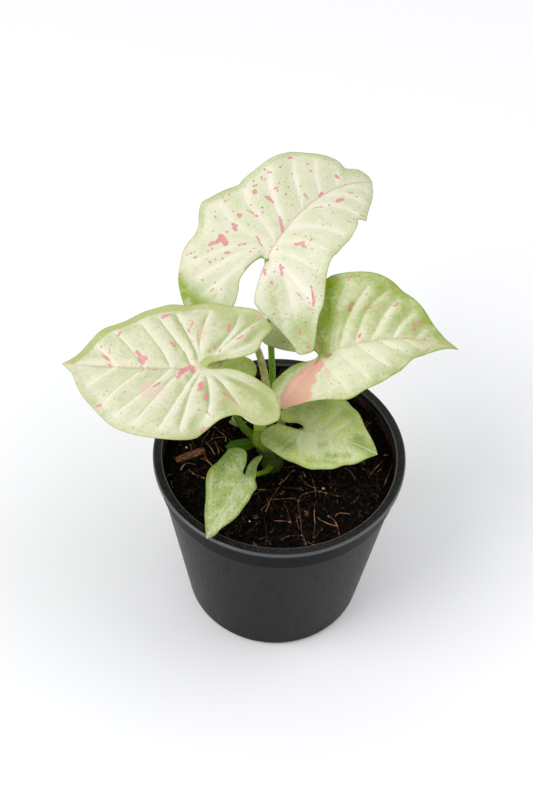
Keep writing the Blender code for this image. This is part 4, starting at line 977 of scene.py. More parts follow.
LEAF_FINISH = {     # seed, bump, greenness, dots, painted green shade away from the light, vein line
    "leaf_top": leaf_material("top_blade", 3.0, 0.05, 0.5, 1.0, 0.25, 0.3, thin_leaf, **TONES["top"]),
    "leaf_left": leaf_material("left_blade", 47.0, 0.05, 0.35, 0.7, 0.85, 0.9, thin_leaf, **TONES["left"]),
    "leaf_right": leaf_material("right_blade", 91.0, 0.05, 0.55, 0.7, 0.55, 0.45,
                                dict(thin_leaf, Specular_IOR_Level=0.12), **TONES["right"]),
    "leaf_small_right": leaf_material("small_blade_right", 130.0, 0.05, 1.0, 0.15, 0.2, 0.8, thin_leaf,
                                      **TONES["small_right"]),
    "leaf_small_front": leaf_material("small_blade_front", 171.0, 0.05, 1.1, 0.1, 0.4, 0.4, thin_leaf,
                                      **TONES["small_front"]),
    "leaf_behind": leaf_material("blade_behind", 215.0, 0.05, 1.1, 0.8, 0.5, 0.8, thin_leaf,
                                 **TONES["behind"]),
    "leaf_young": leaf_material("young_blade", 260.0, 0.02, 0.7, 0.0, 0.2, 0.3,
                                dict(Specular_IOR_Level=0.08), 0.16, **TONES["young"]),
}
print("leaf materials:", len(LEAF_FINISH))

# %% [markdown]
# ## Midrib and turn of a leaf
# Two things are needed for each leaf: its arched midrib as a line of points, and the turn that the stalk
# gives it. The tree bends the flat blade along the first, and the second is laid on its result.

# %% Midrib curve and leaf
BEHIND, PAST_TIP = 60.0, 3.0        # how far the line runs on behind the stalk and past the tip
SPACING = 0.5                       # of the points on it, and of the grid that the flecks are found on
CURL_OVER = 50.0                    # a curl is so many degrees over this many millimetres


def directions(leaf, along):
    """Which way the midrib runs and which way is left of it, at each distance from the stalk."""
    pitch = np.radians(np.where(along > 0, -leaf["arch"], -leaf["lobe_arch"]) * along / leaf["length"])
    yaw = np.radians(leaf["sweep"]) * np.maximum(along, 0) / leaf["length"]
    ahead = np.stack([np.cos(pitch) * np.cos(yaw), np.cos(pitch) * np.sin(yaw), np.sin(pitch)], -1)
    return ahead, np.stack([-np.sin(yaw), np.cos(yaw), np.zeros(len(yaw))], -1)


def midrib_line(leaf):
    """The arched midrib from behind the stalk to past the tip: the distances, and its points there."""
    along = np.arange(-BEHIND, leaf["length"] + PAST_TIP, SPACING)
    ahead = directions(leaf, along)[0]
    line = np.vstack([np.zeros(3), np.cumsum((ahead[1:] + ahead[:-1]) / 2 * SPACING, 0)])
    return along, line - [np.interp(0, along, line[:, k]) for k in range(3)]


def pose_of(leaf):
    """How the stalk turns the leaf about the upright, and then tips it."""
    azimuth = radians(leaf["towards"])
    axis = Vector((0, 0, 1)).cross(Vector((cos(azimuth), sin(azimuth), 0)))
    return Matrix.Rotation(radians(leaf["tip"]), 4, axis) @ Matrix.Rotation(radians(leaf["turn"]), 4, "Z")


# %% [markdown]
# ## From the photo to the flat leaf
# A reading says where the photo has a fleck, and the leaf's material needs to know where that is on the flat
# leaf. So a fine grid of the flat leaf is bent and turned as the blade will be, each of its points is looked
# at through the camera, and the one that is seen nearest to the reading is taken. One picture can't give
# depth, but the leaf's own surface can. If a leaf is moved or bent otherwise, its flecks stay where the
# photo has them. A width is divided by how many pixels a millimetre of the leaf takes up there.

# %% Flecks found on the flat leaves
def bend(leaf, flat):
    """Points of the flat leaf where the blade has them in the scene, in millimetres."""
    along, across = flat.T
    steps, line = midrib_line(leaf)
    spine = np.stack([np.interp(along, steps, line[:, k]) for k in range(3)], -1)
    ahead, left = directions(leaf, along)
    fold, curl = (np.radians(np.where(across > 0, *leaf[key])) for key in ("fold", "curl"))
    curl = curl / CURL_OVER + 1e-9      # never quite 0, since it is divided by
    slope = fold - curl * np.abs(across)
    out = np.sign(across) * (np.sin(fold) - np.sin(slope)) / curl
    lift = (np.cos(slope) - np.cos(fold)) / curl
    blade = spine + left * out[:, None] + np.cross(ahead, left) * lift[:, None]
    return np.array(leaf["at"]) + blade @ np.array(pose_of(leaf).to_3x3()).T


def in_cut(name, flat):
    """Where the camera sees points of the flat leaf, in the pixels of the leaf's cut."""
    left, top, enlarged = CUTS[name]
    return (seen(bend(LEAVES[name], flat)) - (left, top)) * enlarged


def nearest_to(grid, picture, reading):
    """The grid point that is seen nearest to a reading."""
    return grid[np.argmin(np.hypot(*(picture - reading).T))]


def fleck(name, grid, picture, reading):
    """A reading as a stroke on the flat leaf: its two ends, or one point, and half its width."""
    ends = [nearest_to(grid, picture, end) for end in np.reshape(reading[:-1], (-1, 2))]
    around = in_cut(name, np.mean(ends, 0) + np.array([(0, 0), (1, 0), (0, 1)]))
    pixels_in_mm = sqrt(abs(np.linalg.det(around[1:] - around[0])))
    return (*np.ravel(ends), reading[-1] / pixels_in_mm / 2)


LOBES, HALF_WIDTH = 40, 36          # the grid reaches so far behind the stalk and to each side
for name, kinds in READ.items():
    along = np.arange(-LOBES, LEAVES[name]["length"] + PAST_TIP, SPACING)
    across = np.arange(-HALF_WIDTH, HALF_WIDTH + SPACING, SPACING)
    grid = np.stack(np.meshgrid(along, across), -1).reshape(-1, 2)
    picture = in_cut(name, grid)
    for kind, readings in kinds.items():
        if kind == "patch_of":
            found = [tuple(nearest_to(grid, picture, corner)) for corner in readings]
        else:
            found = [fleck(name, grid, picture, reading) for reading in readings]
        MARKS[name][kind] = found + MARKS[name].get(kind, [])
    print(name, "marks found on the flat leaf")


# %% [markdown]
# ## Making the leaves
# Now the table, the flat blade and the tree come together: one mesh and one midrib curve for each leaf.
# The result is made a plain mesh, and turned and moved to where the stalk carries it. The young leaf is so
# short that it gets finer triangles and a lower rib.

# %% Blades
THICKNESS = 0.62                    # of a blade, away from its margin and its ribs
SHORT = 20.0                        # a leaf below this length is made finer


def make_leaf(name):
    leaf = LEAVES[name]
    short = leaf["length"] < SHORT
    obj = new_object("blade" + name[4:], flat_blade(name, leaf, STEP * (0.6 if short else 1.0)))
    midrib = new_object(name + "_midrib", line_mesh(name + "_midrib", [midrib_line(leaf)[1]]))
    fold, curl = leaf["fold"], leaf["curl"]
    run_tree(obj, blade_tree, {
        "Midrib": midrib, "Before": BEHIND, "Fold Left": radians(fold[0]), "Fold Right": radians(fold[1]),
        "Curl Left": radians(curl[0]) / CURL_OVER, "Curl Right": radians(curl[1]) / CURL_OVER,
        "Pucker": leaf["pucker"][0], "Valley": leaf["pucker"][1], "Wave": leaf["wave"],
        "Edge Band": 1.7 * leaf["band"][0], "Thickness": THICKNESS,
        "Rib": 0.15 if short else 0.4, "Finish": LEAF_FINISH[name]})
    bpy.data.objects.remove(midrib, do_unlink=True)
    obj.data.transform(Matrix.Translation(Vector(leaf["at"]) * MM) @ pose_of(leaf))
    register(obj, leaf["slot"], name)


for name in LEAVES:
    make_leaf(name)

# %% [markdown]
# ## Stalks
# Each leaf but the young one hangs on its own stalk, which springs from the short stem, thickest at its
# foot where it sheathes the stem, and slightly ribbed along its length. Where the stalks show, their paths
# follow the photograph, at heights that are guesses. A bevelled curve would give a plain round tube.
# A tree sweeps a circle along the path instead, and then moves the tube's points in and out by their
# angle, which gives the ribs, the groove and the sheath at the foot in one go.

# %% Tree for anything long and thin
strand_tree, come, go = new_tree("strand", "GeometryNodeTree", {
    "Path": ("Geometry", None), "Sides": ("Int", 20), "Ribs": ("Float", 5.0), "Rib Depth": ("Float", 0.05),
    "Groove": ("Float", 0.15), "Groove Turn": ("Float", 0.0), "Finish": ("Material", None)},
    {"Geometry": "Geometry"})
t = strand_tree
path = add(t, "GeometryNodeMeshToCurve", {0: come["Path"]})
path = add(t, "GeometryNodeSetCurveRadius", {"Curve": path, "Radius": 1.0})
ring = t.nodes.new("GeometryNodeCurvePrimitiveCircle")
t.links.new(come["Sides"], ring.inputs["Resolution"])
ring.inputs["Radius"].default_value = MM
tube = add(t, "GeometryNodeCurveToMesh", {"Curve": path, "Profile Curve": ring.outputs[0], "Fill Caps": True})
count = t.nodes.new("GeometryNodeInputIndex").outputs[0]
turn = times(t, over(t, calc(t, "MODULO", count, come["Sides"]), come["Sides"]), 2 * pi)
ribbed = times(t, calc(t, "COSINE", times(t, turn, come["Ribs"])), come["Rib Depth"])
facing = calc(t, "COSINE", minus(t, turn, come["Groove Turn"]))
groove = times(t, calc(t, "POWER", calc(t, "MAXIMUM", facing, 0.0), 6.0), come["Groove"])
sideways = calc(t, "ABSOLUTE", calc(t, "SINE", minus(t, turn, come["Groove Turn"])))
wing = times(t, calc(t, "POWER", sideways, 4.0), named(t, "wing"))
thick = plus(t, plus(t, 1.0, ribbed), minus(t, wing, groove))
thick = times(t, thick, named(t, "thick"))
grown = vec(t, "SCALE", add(t, "GeometryNodeInputNormal"))
t.links.new(times(t, minus(t, thick, 1.0), MM), grown.node.inputs["Scale"])
shaped = add(t, "GeometryNodeSetPosition", {"Geometry": tube, "Offset": grown})
end_tree(t, shaped, come["Finish"], go["Geometry"])


def strand(name, paths, finish, sides=20, ribs=5.0, rib_depth=0.04, groove=0.12, groove_turn=0.0, wing=None):
    """Ribbed tubes along lines of (x, y, z, radius) in millimetres, all in one mesh."""
    radius = [p[3] for path in paths for p in path]
    flare = wing if wing is not None else [0.0] * len(radius)
    obj = new_object(name, line_mesh(name, paths, thick=radius, wing=flare))
    return run_tree(obj, strand_tree, {"Sides": sides, "Ribs": ribs, "Rib Depth": rib_depth, "Groove": groove,
                                       "Groove Turn": groove_turn, "Finish": finish})


print("strand tree:", len(t.nodes), "nodes")

# %% [markdown]
# ## Stalk colours
# The stalks are fresh green, two of them brownish olive, paler along one side, with fine lengthwise
# streaks. Streaks come from noise that is squeezed across the stalk and stretched along it. All the
# stalks stand more or less upright, so stretching the pattern in height is enough.

# %% Stalk materials
def stalk_material(name, dark, light, streak, gloss=0.35, foot=None, foot_height=0.0):
    """foot is the colour below a height, which the upper colours run into."""
    material, tree = new_material(name)
    place = add(tree, "ShaderNodeTexCoord", out=3)
    squeezed = vec(tree, "MULTIPLY", place, (1.0, 1.0, 0.12))
    lines = patch(tree, squeezed, 0.0006, dark, light, 0.2)
    cloud = patches_only(tree, place, 0.006, 0.2)
    colour = mix(tree, times(tree, cloud, 0.5), lines, streak)
    if foot:
        height = add(tree, "ShaderNodeSeparateXYZ", {0: place}, 2)
        low = ramp(tree, plus(tree, height, times(tree, cloud, 0.002)), foot_height - 0.002,
                   foot_height + 0.002, 0.9, 0.0)
        colour = mix(tree, low, colour, foot)
    roughness = plus(tree, gloss, times(tree, cloud, 0.15))
    return surface(material, colour, roughness, lines.node.outputs["Amount"], 0.05,
                   Subsurface_Weight=0.15, Subsurface_Radius=(0.6, 1.0, 0.2), Subsurface_Scale=0.001,
                   Specular_IOR_Level=0.2)


GREEN_STALK = stalk_material("green_stalk", tone(84, 124, 8), tone(146, 182, 44), tone(106, 146, 20))
DARK_STALK = stalk_material("dark_stalk", tone(62, 94, 4), tone(112, 146, 28), tone(84, 112, 12))
OLIVE_STALK = stalk_material("olive_stalk", tone(148, 150, 70), tone(212, 214, 148), tone(158, 144, 82),
                             foot=tone(184, 204, 84), foot_height=0.1)
# The stem's dark green foot, below 87 mm, is painted shade where the leaves above shadow it near the soil.
STEM_FINISH = stalk_material("stem_skin", tone(104, 130, 16), tone(180, 194, 76), tone(124, 136, 36), 0.4,
                             foot=tone(44, 58, 12), foot_height=0.087)

# %% Stalks and stem
STALKS = {  # x, y, z and radius, from inside the stem to the blade, and the flare of the sheath at the foot
    "petiole_top": ("leaf_top", GREEN_STALK, "stalk_green", 0.5, [
        (-6.2, 4.2, 85, 1.6), (-4.9, 8.8, 89.5, 1.5), (-3.9, 13.5, 95, 1.35), (-3.6, 19.5, 101, 1.3),
        (-4.9, 31, 113, 1.25), (-6.2, 39.3, 127, 1.2), (-7.3, 46.7, 136, 1.15), (-7.7, 51, 140.6, 1.0)]),
    "petiole_left": ("leaf_left", OLIVE_STALK, "stalk_olive", 0.8, [
        (-8, 4.4, 89.2, 1.55), (-7.8, 9.5, 94, 1.55), (-6.2, 16.8, 102, 1.5), (-8.1, 22, 111, 1.4),
        (-11, 21.7, 122, 1.3), (-15.5, 14.1, 129.5, 1.2), (-22.5, 4.6, 131.3, 1.1), (-27, -0.2, 132.4, 1.0),
        (-29.2, -1.7, 133.5, 0.9)]),
    "petiole_right": ("leaf_right", OLIVE_STALK, "stalk_olive", 0.5, [
        (-5.2, 3.8, 83.6, 1.6), (-1.5, 8, 87.5, 1.5), (2.5, 14, 93, 1.35), (5.5, 18.5, 99.5, 1.3),
        (9.2, 19.8, 108, 1.25), (12.8, 18.9, 117, 1.1), (14.4, 17.7, 121.6, 1.0)]),
    "petiole_small_right": ("leaf_small_right", GREEN_STALK, "stalk_green", 0.4, [
        (-6.2, 2.8, 86.2, 1.2), (-2, 1.6, 88, 1.1), (2.5, 2.2, 91, 1), (7, 2.8, 94.3, 0.9),
        (9.4, 1.9, 96.6, 0.8)]),
    "petiole_small_front": ("leaf_small_front", GREEN_STALK, "stalk_green", 0.3, [
        (-2.9, -2, 79.2, 1.1), (-4.4, -6.4, 80.8, 1.0), (-7, -10.6, 84, 0.95), (-9.8, -15, 88.3, 0.9),
        (-12, -18.8, 92.2, 0.85), (-13.3, -21.7, 95.1, 0.75)]),
    "petiole_behind": ("leaf_behind", DARK_STALK, "stalk_green", 0.2, [
        (-7.4, 3.7, 87.2, 1.6), (-11.6, 4.7, 89.4, 1.6), (-14.8, 5.4, 93, 1.5), (-17.6, 6.6, 98.2, 1.3),
        (-19.6, 8.9, 103.6, 1.1), (-20.4, 10.5, 106.6, 0.9)]),
}
for name, (leaf, finish, slot, flare, path) in STALKS.items():
    path = even(smooth_path(path, 6), 0.8)
    reach = np.linspace(0, 1, len(path))
    wing = flare * np.exp(-(reach / 0.22) ** 2)
    stalk = strand("stalk" + name[7:], [path], finish, wing=wing, groove_turn=1.3)
    register(stalk, slot, name)

STEM = [(-2.5, -0.5, 55.0, 4.2), (-2.5, -0.5, 78.0, 4.2), (-3.6, 1.4, 81.0, 4.1), (-5.8, 3.3, 84.5, 3.9),
        (-7.6, 3.8, 88.0, 3.5), (-8.0, 3.5, 90.6, 2.6), (-8.1, 3.4, 91.2, 1.2)]
path = np.vstack([STEM[:1], even(smooth_path(STEM[1:], 6), 0.5)])
rings = 1 + 0.05 * np.sin(path[:, 2] * 2.1) + 0.03 * np.sin(path[:, 2] * 5.3 + 1)
path[:, 3] *= rings
stem = strand("stem_crown", [path], STEM_FINISH, sides=40, ribs=7.0, rib_depth=0.03, groove=0.0)
register(stem, "stalk_olive", "stem")

# %% [markdown]
# ## Pot
# A nursery pot is blown or moulded from black polypropylene: a flat flange round the rim, a slightly
# wider band below it, a fine step, and a tapered wall. It is one profile turned about an axis, which a
# Screw modifier or Spin could do. The tree below turns it too: it lays the profile along every column of
# a grid and rolls the grid up, so the number of columns is just an input. The corners of the profile are
# rounded first, because the light that runs along the rim is what shows that it is plastic.

# %% Pot profile with rounded corners
POT_PROFILE = [  # radius and height, down the outside, across the base and up the inside
    (46.6, 85.0), (49.4, 85.0), (50.0, 84.6), (50.0, 82.6), (48.4, 82.6), (48.0, 82.2), (48.0, 73.5),
    (47.2, 72.9), (36.9, 2.0), (35.9, 0.0), (0.0, 0.0), (0.0, 2.0), (34.3, 2.0), (35.4, 3.2),
    (45.4, 73.2), (46.0, 74.0), (46.2, 84.5),
]


def rounded(profile, radius=0.45, steps=4):
    """The closed profile with every corner off the axis replaced by a short curve."""
    points = [Vector(p) for p in profile]
    out = []
    for k, corner in enumerate(points):
        before, after = points[k - 1], points[(k + 1) % len(points)]
        if corner.x == 0:
            out.append(corner)
            continue
        reach = min(radius, 0.45 * (before - corner).length, 0.45 * (after - corner).length)
        start = corner + (before - corner).normalized() * reach
        end = corner + (after - corner).normalized() * reach
        for n in range(steps + 1):
            s = n / steps
            out.append(start * (1 - s) ** 2 + corner * 2 * s * (1 - s) + end * s ** 2)
    return out


# %% Tree that turns a profile
turned_tree, come, go = new_tree("turned_profile", "GeometryNodeTree", {
    "Profile": ("Geometry", None), "Steps": ("Int", 128), "Points": ("Int", 10),
    "Finish": ("Material", None)},
    {"Geometry": "Geometry"})
t = turned_tree
sheet = add(t, "GeometryNodeMeshGrid",
            {"Vertices X": plus(t, come["Steps"], 1.0), "Vertices Y": come["Points"]})
count = t.nodes.new("GeometryNodeInputIndex").outputs[0]
column = calc(t, "FLOOR", over(t, plus(t, count, 0.5), come["Points"]))
row = calc(t, "MODULO", count, come["Points"])
turn = times(t, over(t, column, come["Steps"]), 2 * pi)
spot = add(t, "GeometryNodeSampleIndex", {
    "Geometry": come["Profile"], "Value": add(t, "GeometryNodeInputPosition"), "Index": row},
    data_type="FLOAT_VECTOR", domain="POINT")
spot = add(t, "ShaderNodeSeparateXYZ", {0: spot}).node.outputs
place = add(t, "ShaderNodeCombineXYZ",
            {0: times(t, spot[0], calc(t, "COSINE", turn)), 1: times(t, spot[0], calc(t, "SINE", turn)),
             2: spot[2]})
rolled = add(t, "GeometryNodeSetPosition", {"Geometry": sheet, "Position": place})
rolled = add(t, "GeometryNodeMergeByDistance", {"Geometry": rolled, "Distance": 0.000002})
end_tree(t, rolled, come["Finish"], go["Geometry"])


def turned(name, profile, steps, finish):
    """A closed profile turned about the upright axis, as one closed mesh."""
    points = [(p[0], 0.0, p[1]) for p in profile]
    obj = new_object(name, line_mesh(name, [points + points[:1]]))
    run_tree(obj, turned_tree, {"Steps": steps, "Points": len(points) + 1, "Finish": finish})
    work = bmesh.new()
    work.from_mesh(obj.data)
    bmesh.ops.remove_doubles(work, verts=work.verts, dist=1e-6)
    bmesh.ops.recalc_face_normals(work, faces=work.faces)
    work.to_mesh(obj.data)
    work.free()
    return obj


print("profile points after rounding:", len(rounded(POT_PROFILE)))

# %% [markdown]
# ## Pot plastic
# The plastic is black with a satin face. The flange is duller and dusted with fine grey specks where it
# has been rubbed, the wall has faint lengthwise scuffs, and a few soil smears cling to the inside
# above the soil. The flange's outer and inner edges and a thin line round the inside, where a fine
# moulded ring sits, are painted light grey: a painted highlight. Plain black would look like a hole in
# the picture, so the roughness changes far more than the colour.

# %% Plastic
plastic, tree = new_material("pot_plastic")
place = add(tree, "ShaderNodeTexCoord", out=3)
parts = add(tree, "ShaderNodeSeparateXYZ", {0: place}).node.outputs
reach = calc(tree, "SQRT", plus(tree, times(tree, parts[0], parts[0]), times(tree, parts[1], parts[1])))
on_top = ramp(tree, parts[2], 0.0846, 0.0849)
colour = patch(tree, place, 0.02, tone(9, 9, 10), tone(14, 13, 14), 0.2)
specks = add(tree, "ShaderNodeTexNoise", {"Vector": place, "Scale": 2600.0, "Detail": 2.0})
dust = times(tree, ramp(tree, specks, 0.56, 0.74), plus(tree, 0.05, times(tree, on_top, 0.75)))
colour = mix(tree, dust, colour, tone(104, 102, 94))
WALL_FOOT, WALL_SLOPE = 0.0354, 0.1429      # the wall's inner radius at the base, and its growth with height
wall = plus(tree, WALL_FOOT, times(tree, parts[2], WALL_SLOPE))
inner = ramp(tree, minus(tree, reach, wall), 0.0002, 0.0005, 1.0, 0.0)
inner = times(tree, inner, ramp(tree, parts[2], 0.0815, 0.0842, 1.0, 0.0))
smear = patches_only(tree, place, 0.0018, 0.1)
colour = mix(tree, times(tree, times(tree, inner, smear), 0.8), colour, tone(92, 66, 48))
# The light grey on the flange's edges and on a thin ring inside the wall is a painted highlight.
from_ring = calc(tree, "ABSOLUTE", minus(tree, parts[2], 0.0815))
ring = times(tree, ramp(tree, from_ring, 0.0002, 0.0005, 1.0, 0.0), ramp(tree, parts[0], 0.02, 0.036))
ring = times(tree, ring, ramp(tree, minus(tree, reach, wall), 0.0002, 0.0005, 1.0, 0.0))
brim = times(tree, ramp(tree, reach, 0.0493, 0.0496), ramp(tree, parts[2], 0.0834, 0.0842))
lip = times(tree, ramp(tree, reach, 0.0459, 0.0462), ramp(tree, reach, 0.0467, 0.0469, 1.0, 0.0))
lip = times(tree, lip, ramp(tree, parts[2], 0.0837, 0.0843))
painted_highlight = times(tree, calc(tree, "MAXIMUM", calc(tree, "MAXIMUM", brim, lip), ring), 0.5)
colour = mix(tree, painted_highlight, colour, tone(98, 100, 104))
scuff_place = vec(tree, "MULTIPLY", place, (1.0, 1.0, 0.15))
scuffs = add(tree, "ShaderNodeTexNoise", {"Vector": scuff_place, "Scale": 700.0, "Detail": 3.0})
roughness = plus(tree, 0.36, times(tree, ramp(tree, scuffs, 0.45, 0.7), 0.05))
roughness = plus(tree, roughness, times(tree, on_top, 0.22))
grain = add(tree, "ShaderNodeTexNoise", {"Vector": place, "Scale": 1500.0, "Detail": 3.0})
surface(plastic, colour, roughness, plus(tree, grain, times(tree, scuffs, 0.2)), 0.01, IOR=1.15,
        Coat_Roughness=0.22)
shiny = calc(tree, "MAXIMUM", calc(tree, "MAXIMUM", brim, lip), times(tree, on_top, 0.5))
tree.links.new(times(tree, shiny, 0.9), tree.nodes["Principled BSDF"].inputs["Coat Weight"])

# %% Pot with its drain holes
HOLES, HOLE_RADIUS, HOLE_RING = 6, 3.5, 24.0

pot = turned("pot_shell", rounded(POT_PROFILE), 160, plastic)
posts = bmesh.new()
for k in range(HOLES):
    angle = 2 * pi * (k + 0.5) / HOLES
    spot = Vector((HOLE_RING * cos(angle), HOLE_RING * sin(angle), 0)) * MM
    bmesh.ops.create_cone(posts, cap_ends=True, segments=40, radius1=HOLE_RADIUS * MM,
                          radius2=HOLE_RADIUS * MM, depth=8 * MM, matrix=Matrix.Translation(spot))
mesh = bpy.data.meshes.new("posts")
posts.to_mesh(mesh)
posts.free()
cutter = new_object("posts", mesh)
cut = pot.modifiers.new("holes", "BOOLEAN")
cut.operation = "DIFFERENCE"
cut.solver = "EXACT"
cut.object = cutter
bpy.context.view_layer.update()
graph = bpy.context.evaluated_depsgraph_get()
mesh = bpy.data.meshes.new_from_object(pot.evaluated_get(graph))
pot.modifiers.clear()
pot.data = mesh
mesh.shade_smooth()
mesh.set_sharp_from_angle(angle=radians(38))
bpy.data.objects.remove(cutter, do_unlink=True)
register(pot, "pot_plastic", "pot")

# %% [markdown]
# ## Soil
# The pot is filled with dark peat and coir: crumbs of every size, reddish fibres that curl over the
# surface, and a few chips of bark. Real soil is never one skin, so it is built in layers: a rough bed, a
# scatter of loose crumbs on it, and fibres and chips that lie over both. The bed keeps the gentle rise and
# the wide clods of the solid, and adds finer ones.

# %% Height of the soil
SOIL_TOP, SOIL_RISE, SOIL_AT_STEM, SOIL_RADIUS = 77.0, 1.2, 76.3, 45.7
CLODS = ((15, 1.4), (5, 0.8), (1.7, 0.5), (0.8, 0.3))      # how wide and how high the unevenness is
SOIL_SIDE = ((45.7, 74.3), (45.1, 73.4), (35.1, 3.6), (34.0, 2.3))     # radius and height, down the side


def soil_height(x, y, fine=True):
    """The soil's top at x and y: a rise to the back, clods, and level round the stem."""
    height = SOIL_TOP + SOIL_RISE * max(y, 0.0) / SOIL_RADIUS
    for reach, rise in CLODS if fine else CLODS[:2]:
        height += rise * noise.noise(Vector((x / reach, y / reach, reach)))
    from_stem = Vector((x + 2.5, y + 0.5)).length
    near = min(max((from_stem - 6.0) / 6.0, 0.0), 1.0)
    return height * near + SOIL_AT_STEM * (1 - near)


# %% Soil bed
def soil_bed(rings=64, sides=260):
    """A disc of rings over the top, closed by the sides and the base that fill the pot."""
    work = bmesh.new()
    rows = [[work.verts.new((0, 0, soil_height(0, 0) * MM))]]
    for k in range(1, rings + 1):
        reach = SOIL_RADIUS * k / rings
        row = []
        for n in range(sides):
            angle = 2 * pi * n / sides
            x, y = reach * cos(angle), reach * sin(angle)
            row.append(work.verts.new((x * MM, y * MM, soil_height(x, y) * MM)))
        rows.append(row)
    for reach, z in SOIL_SIDE:
        spots = [(reach * cos(2 * pi * n / sides), reach * sin(2 * pi * n / sides), z) for n in range(sides)]
        rows.append([work.verts.new([c * MM for c in spot]) for spot in spots])
    base = work.verts.new((0, 0, SOIL_SIDE[-1][1] * MM))
    for n in range(sides):
        m = (n + 1) % sides
        work.faces.new((rows[0][0], rows[1][n], rows[1][m]))
        for a, b in zip(rows[1:-1], rows[2:]):
            work.faces.new((a[n], b[n], b[m], a[m]))
        work.faces.new((rows[-1][n], base, rows[-1][m]))
    mesh = bpy.data.meshes.new("soil_bed")
    work.to_mesh(mesh)
    work.free()
    mesh.shade_smooth()
    return mesh


# %% [markdown]
# ## Peat, fibre and bark
# Peat is nearly black when it is moist, with brown crumbs where it has dried. Coir fibres are reddish
# brown, lighter where they are thick. Bark is split along its grain.

# %% Peat, fibre and bark materials
def earth(name, dark, middle, light, size, share, rough=0.85, depth=0.25, level=0.25, grain=False):
    """Three earthy tones. With grain the pattern follows the piece's own length, stored in its mesh."""
    material, tree = new_material(name)
    place = add(tree, "ShaderNodeTexCoord", out=3)
    if grain:
        place = add(tree, "ShaderNodeAttribute", out=1, attribute_name="grain")
    colour = patch(tree, place, size, dark, middle, 0.14)
    bright = patches_only(tree, vec(tree, "ADD", place, (0.3, 0.1, 0.2)), size * 0.45, 0.1)
    bright = ramp(tree, bright, 1.0 - share, 1.0)
    colour = mix(tree, bright, colour, light)
    fine = add(tree, "ShaderNodeTexNoise", {"Vector": place, "Scale": 2500.0, "Detail": 4.0})
    roughness = plus(tree, rough, times(tree, fine, 0.12))
    return surface(material, colour, roughness, fine, depth, Specular_IOR_Level=level)


PEAT = earth("peat", tone(6, 5, 4), tone(12, 9, 7), tone(28, 20, 15), 0.004, 0.3, 0.9, level=0.06)
CRUMB = earth("peat_crumbs", tone(5, 4, 3), tone(13, 10, 8), tone(46, 31, 22), 0.0045, 0.3, 0.9, level=0.08)
COIR = earth("coir_fibre", tone(48, 28, 20), tone(98, 62, 44), tone(164, 116, 84), 0.011, 0.45, 0.7, 0.05,
             0.2)
FLAKE = earth("bark_flakes", tone(34, 22, 17), tone(70, 46, 34), tone(124, 88, 64), 0.0016, 0.4, 0.8, 0.3,
              0.1)
BARK = earth("bark", tone(60, 36, 26), tone(112, 70, 48), tone(170, 122, 88), 0.0016, 0.5, 0.8, 0.3, 0.1,
             grain=True)
HUSK = earth("dry_husk", tone(168, 168, 96), tone(206, 204, 140), tone(230, 228, 182), 0.0012, 0.5, 0.6, 0.2,
             grain=True)
PEARL = earth("pale_grit", tone(176, 158, 112), tone(206, 188, 140), tone(226, 214, 176), 0.0012, 0.5, 0.7,
              0.1)

bed_mesh = soil_bed()
bed_mesh.materials.append(PEAT)
bed = new_object("soil_bed", bed_mesh)
register(bed, "soil_peat", "soil")

# %% [markdown]
# ## Scattered crumbs
# Thousands of crumbs can't be placed one by one. The tree scatters points over the ground, gives each a
# coarse ball of twenty faces at its own size and turn, makes them real, and then pushes every corner by
# noise, so that no two crumbs are alike. The seed is fixed, so the soil is the same on every run.

# %% Tree that scatters lumps
scatter_tree, come, go = new_tree("scattered_lumps", "GeometryNodeTree", {
    "Ground": ("Geometry", None), "Density": ("Float", 100.0), "Seed": ("Int", 1), "Smallest": ("Float", 0.3),
    "Largest": ("Float", 1.2), "Rarity": ("Float", 3.0), "Flatness": ("Float", 0.8), "Length": ("Float", 1.0),
    "Ragged": ("Float", 0.5), "Fineness": ("Int", 1), "Finish": ("Material", None)}, {"Geometry": "Geometry"})
t = scatter_tree
spots = t.nodes.new("GeometryNodeDistributePointsOnFaces")
t.links.new(come["Ground"], spots.inputs["Mesh"])
t.links.new(come["Density"], spots.inputs["Density"])
t.links.new(come["Seed"], spots.inputs["Seed"])
chance = add(t, "FunctionNodeRandomValue", {"Seed": come["Seed"]}, 1, data_type="FLOAT")
reach = minus(t, come["Largest"], come["Smallest"])
size = plus(t, come["Smallest"], times(t, calc(t, "POWER", chance, come["Rarity"]), reach))
size = times(t, size, MM)
shape = add(t, "ShaderNodeCombineXYZ",
            {0: times(t, size, come["Length"]), 1: size, 2: times(t, size, come["Flatness"])})
spin = add(t, "FunctionNodeRandomValue",
           {"Min": (-0.5, -0.5, 0.0), "Max": (0.5, 0.5, 2 * pi), "Seed": plus(t, come["Seed"], 7.0)}, 0,
           data_type="FLOAT_VECTOR")
ball = add(t, "GeometryNodeMeshIcoSphere", {"Radius": 1.0, "Subdivisions": come["Fineness"]})
along_grain = vec(t, "MULTIPLY", add(t, "GeometryNodeInputPosition"), (0.0012, 0.004, 0.004))
ball = add(t, "GeometryNodeStoreNamedAttribute", {"Geometry": ball, "Name": "grain", "Value": along_grain},
           data_type="FLOAT_VECTOR")
lumps = add(t, "GeometryNodeInstanceOnPoints", {"Points": spots.outputs["Points"], "Instance": ball,
                                                "Rotation": spin, "Scale": shape})
lumps = add(t, "GeometryNodeRealizeInstances", {"Geometry": lumps})
push = add(t, "ShaderNodeTexNoise", {"Scale": 900.0, "Detail": 1.0}, 1)
push = vec(t, "SUBTRACT", push, (0.5, 0.5, 0.5))
push = vec(t, "SCALE", push)
t.links.new(times(t, come["Ragged"], MM), push.node.inputs["Scale"])
lumps = add(t, "GeometryNodeSetPosition", {"Geometry": lumps, "Offset": push})
end_tree(t, lumps, come["Finish"], go["Geometry"])


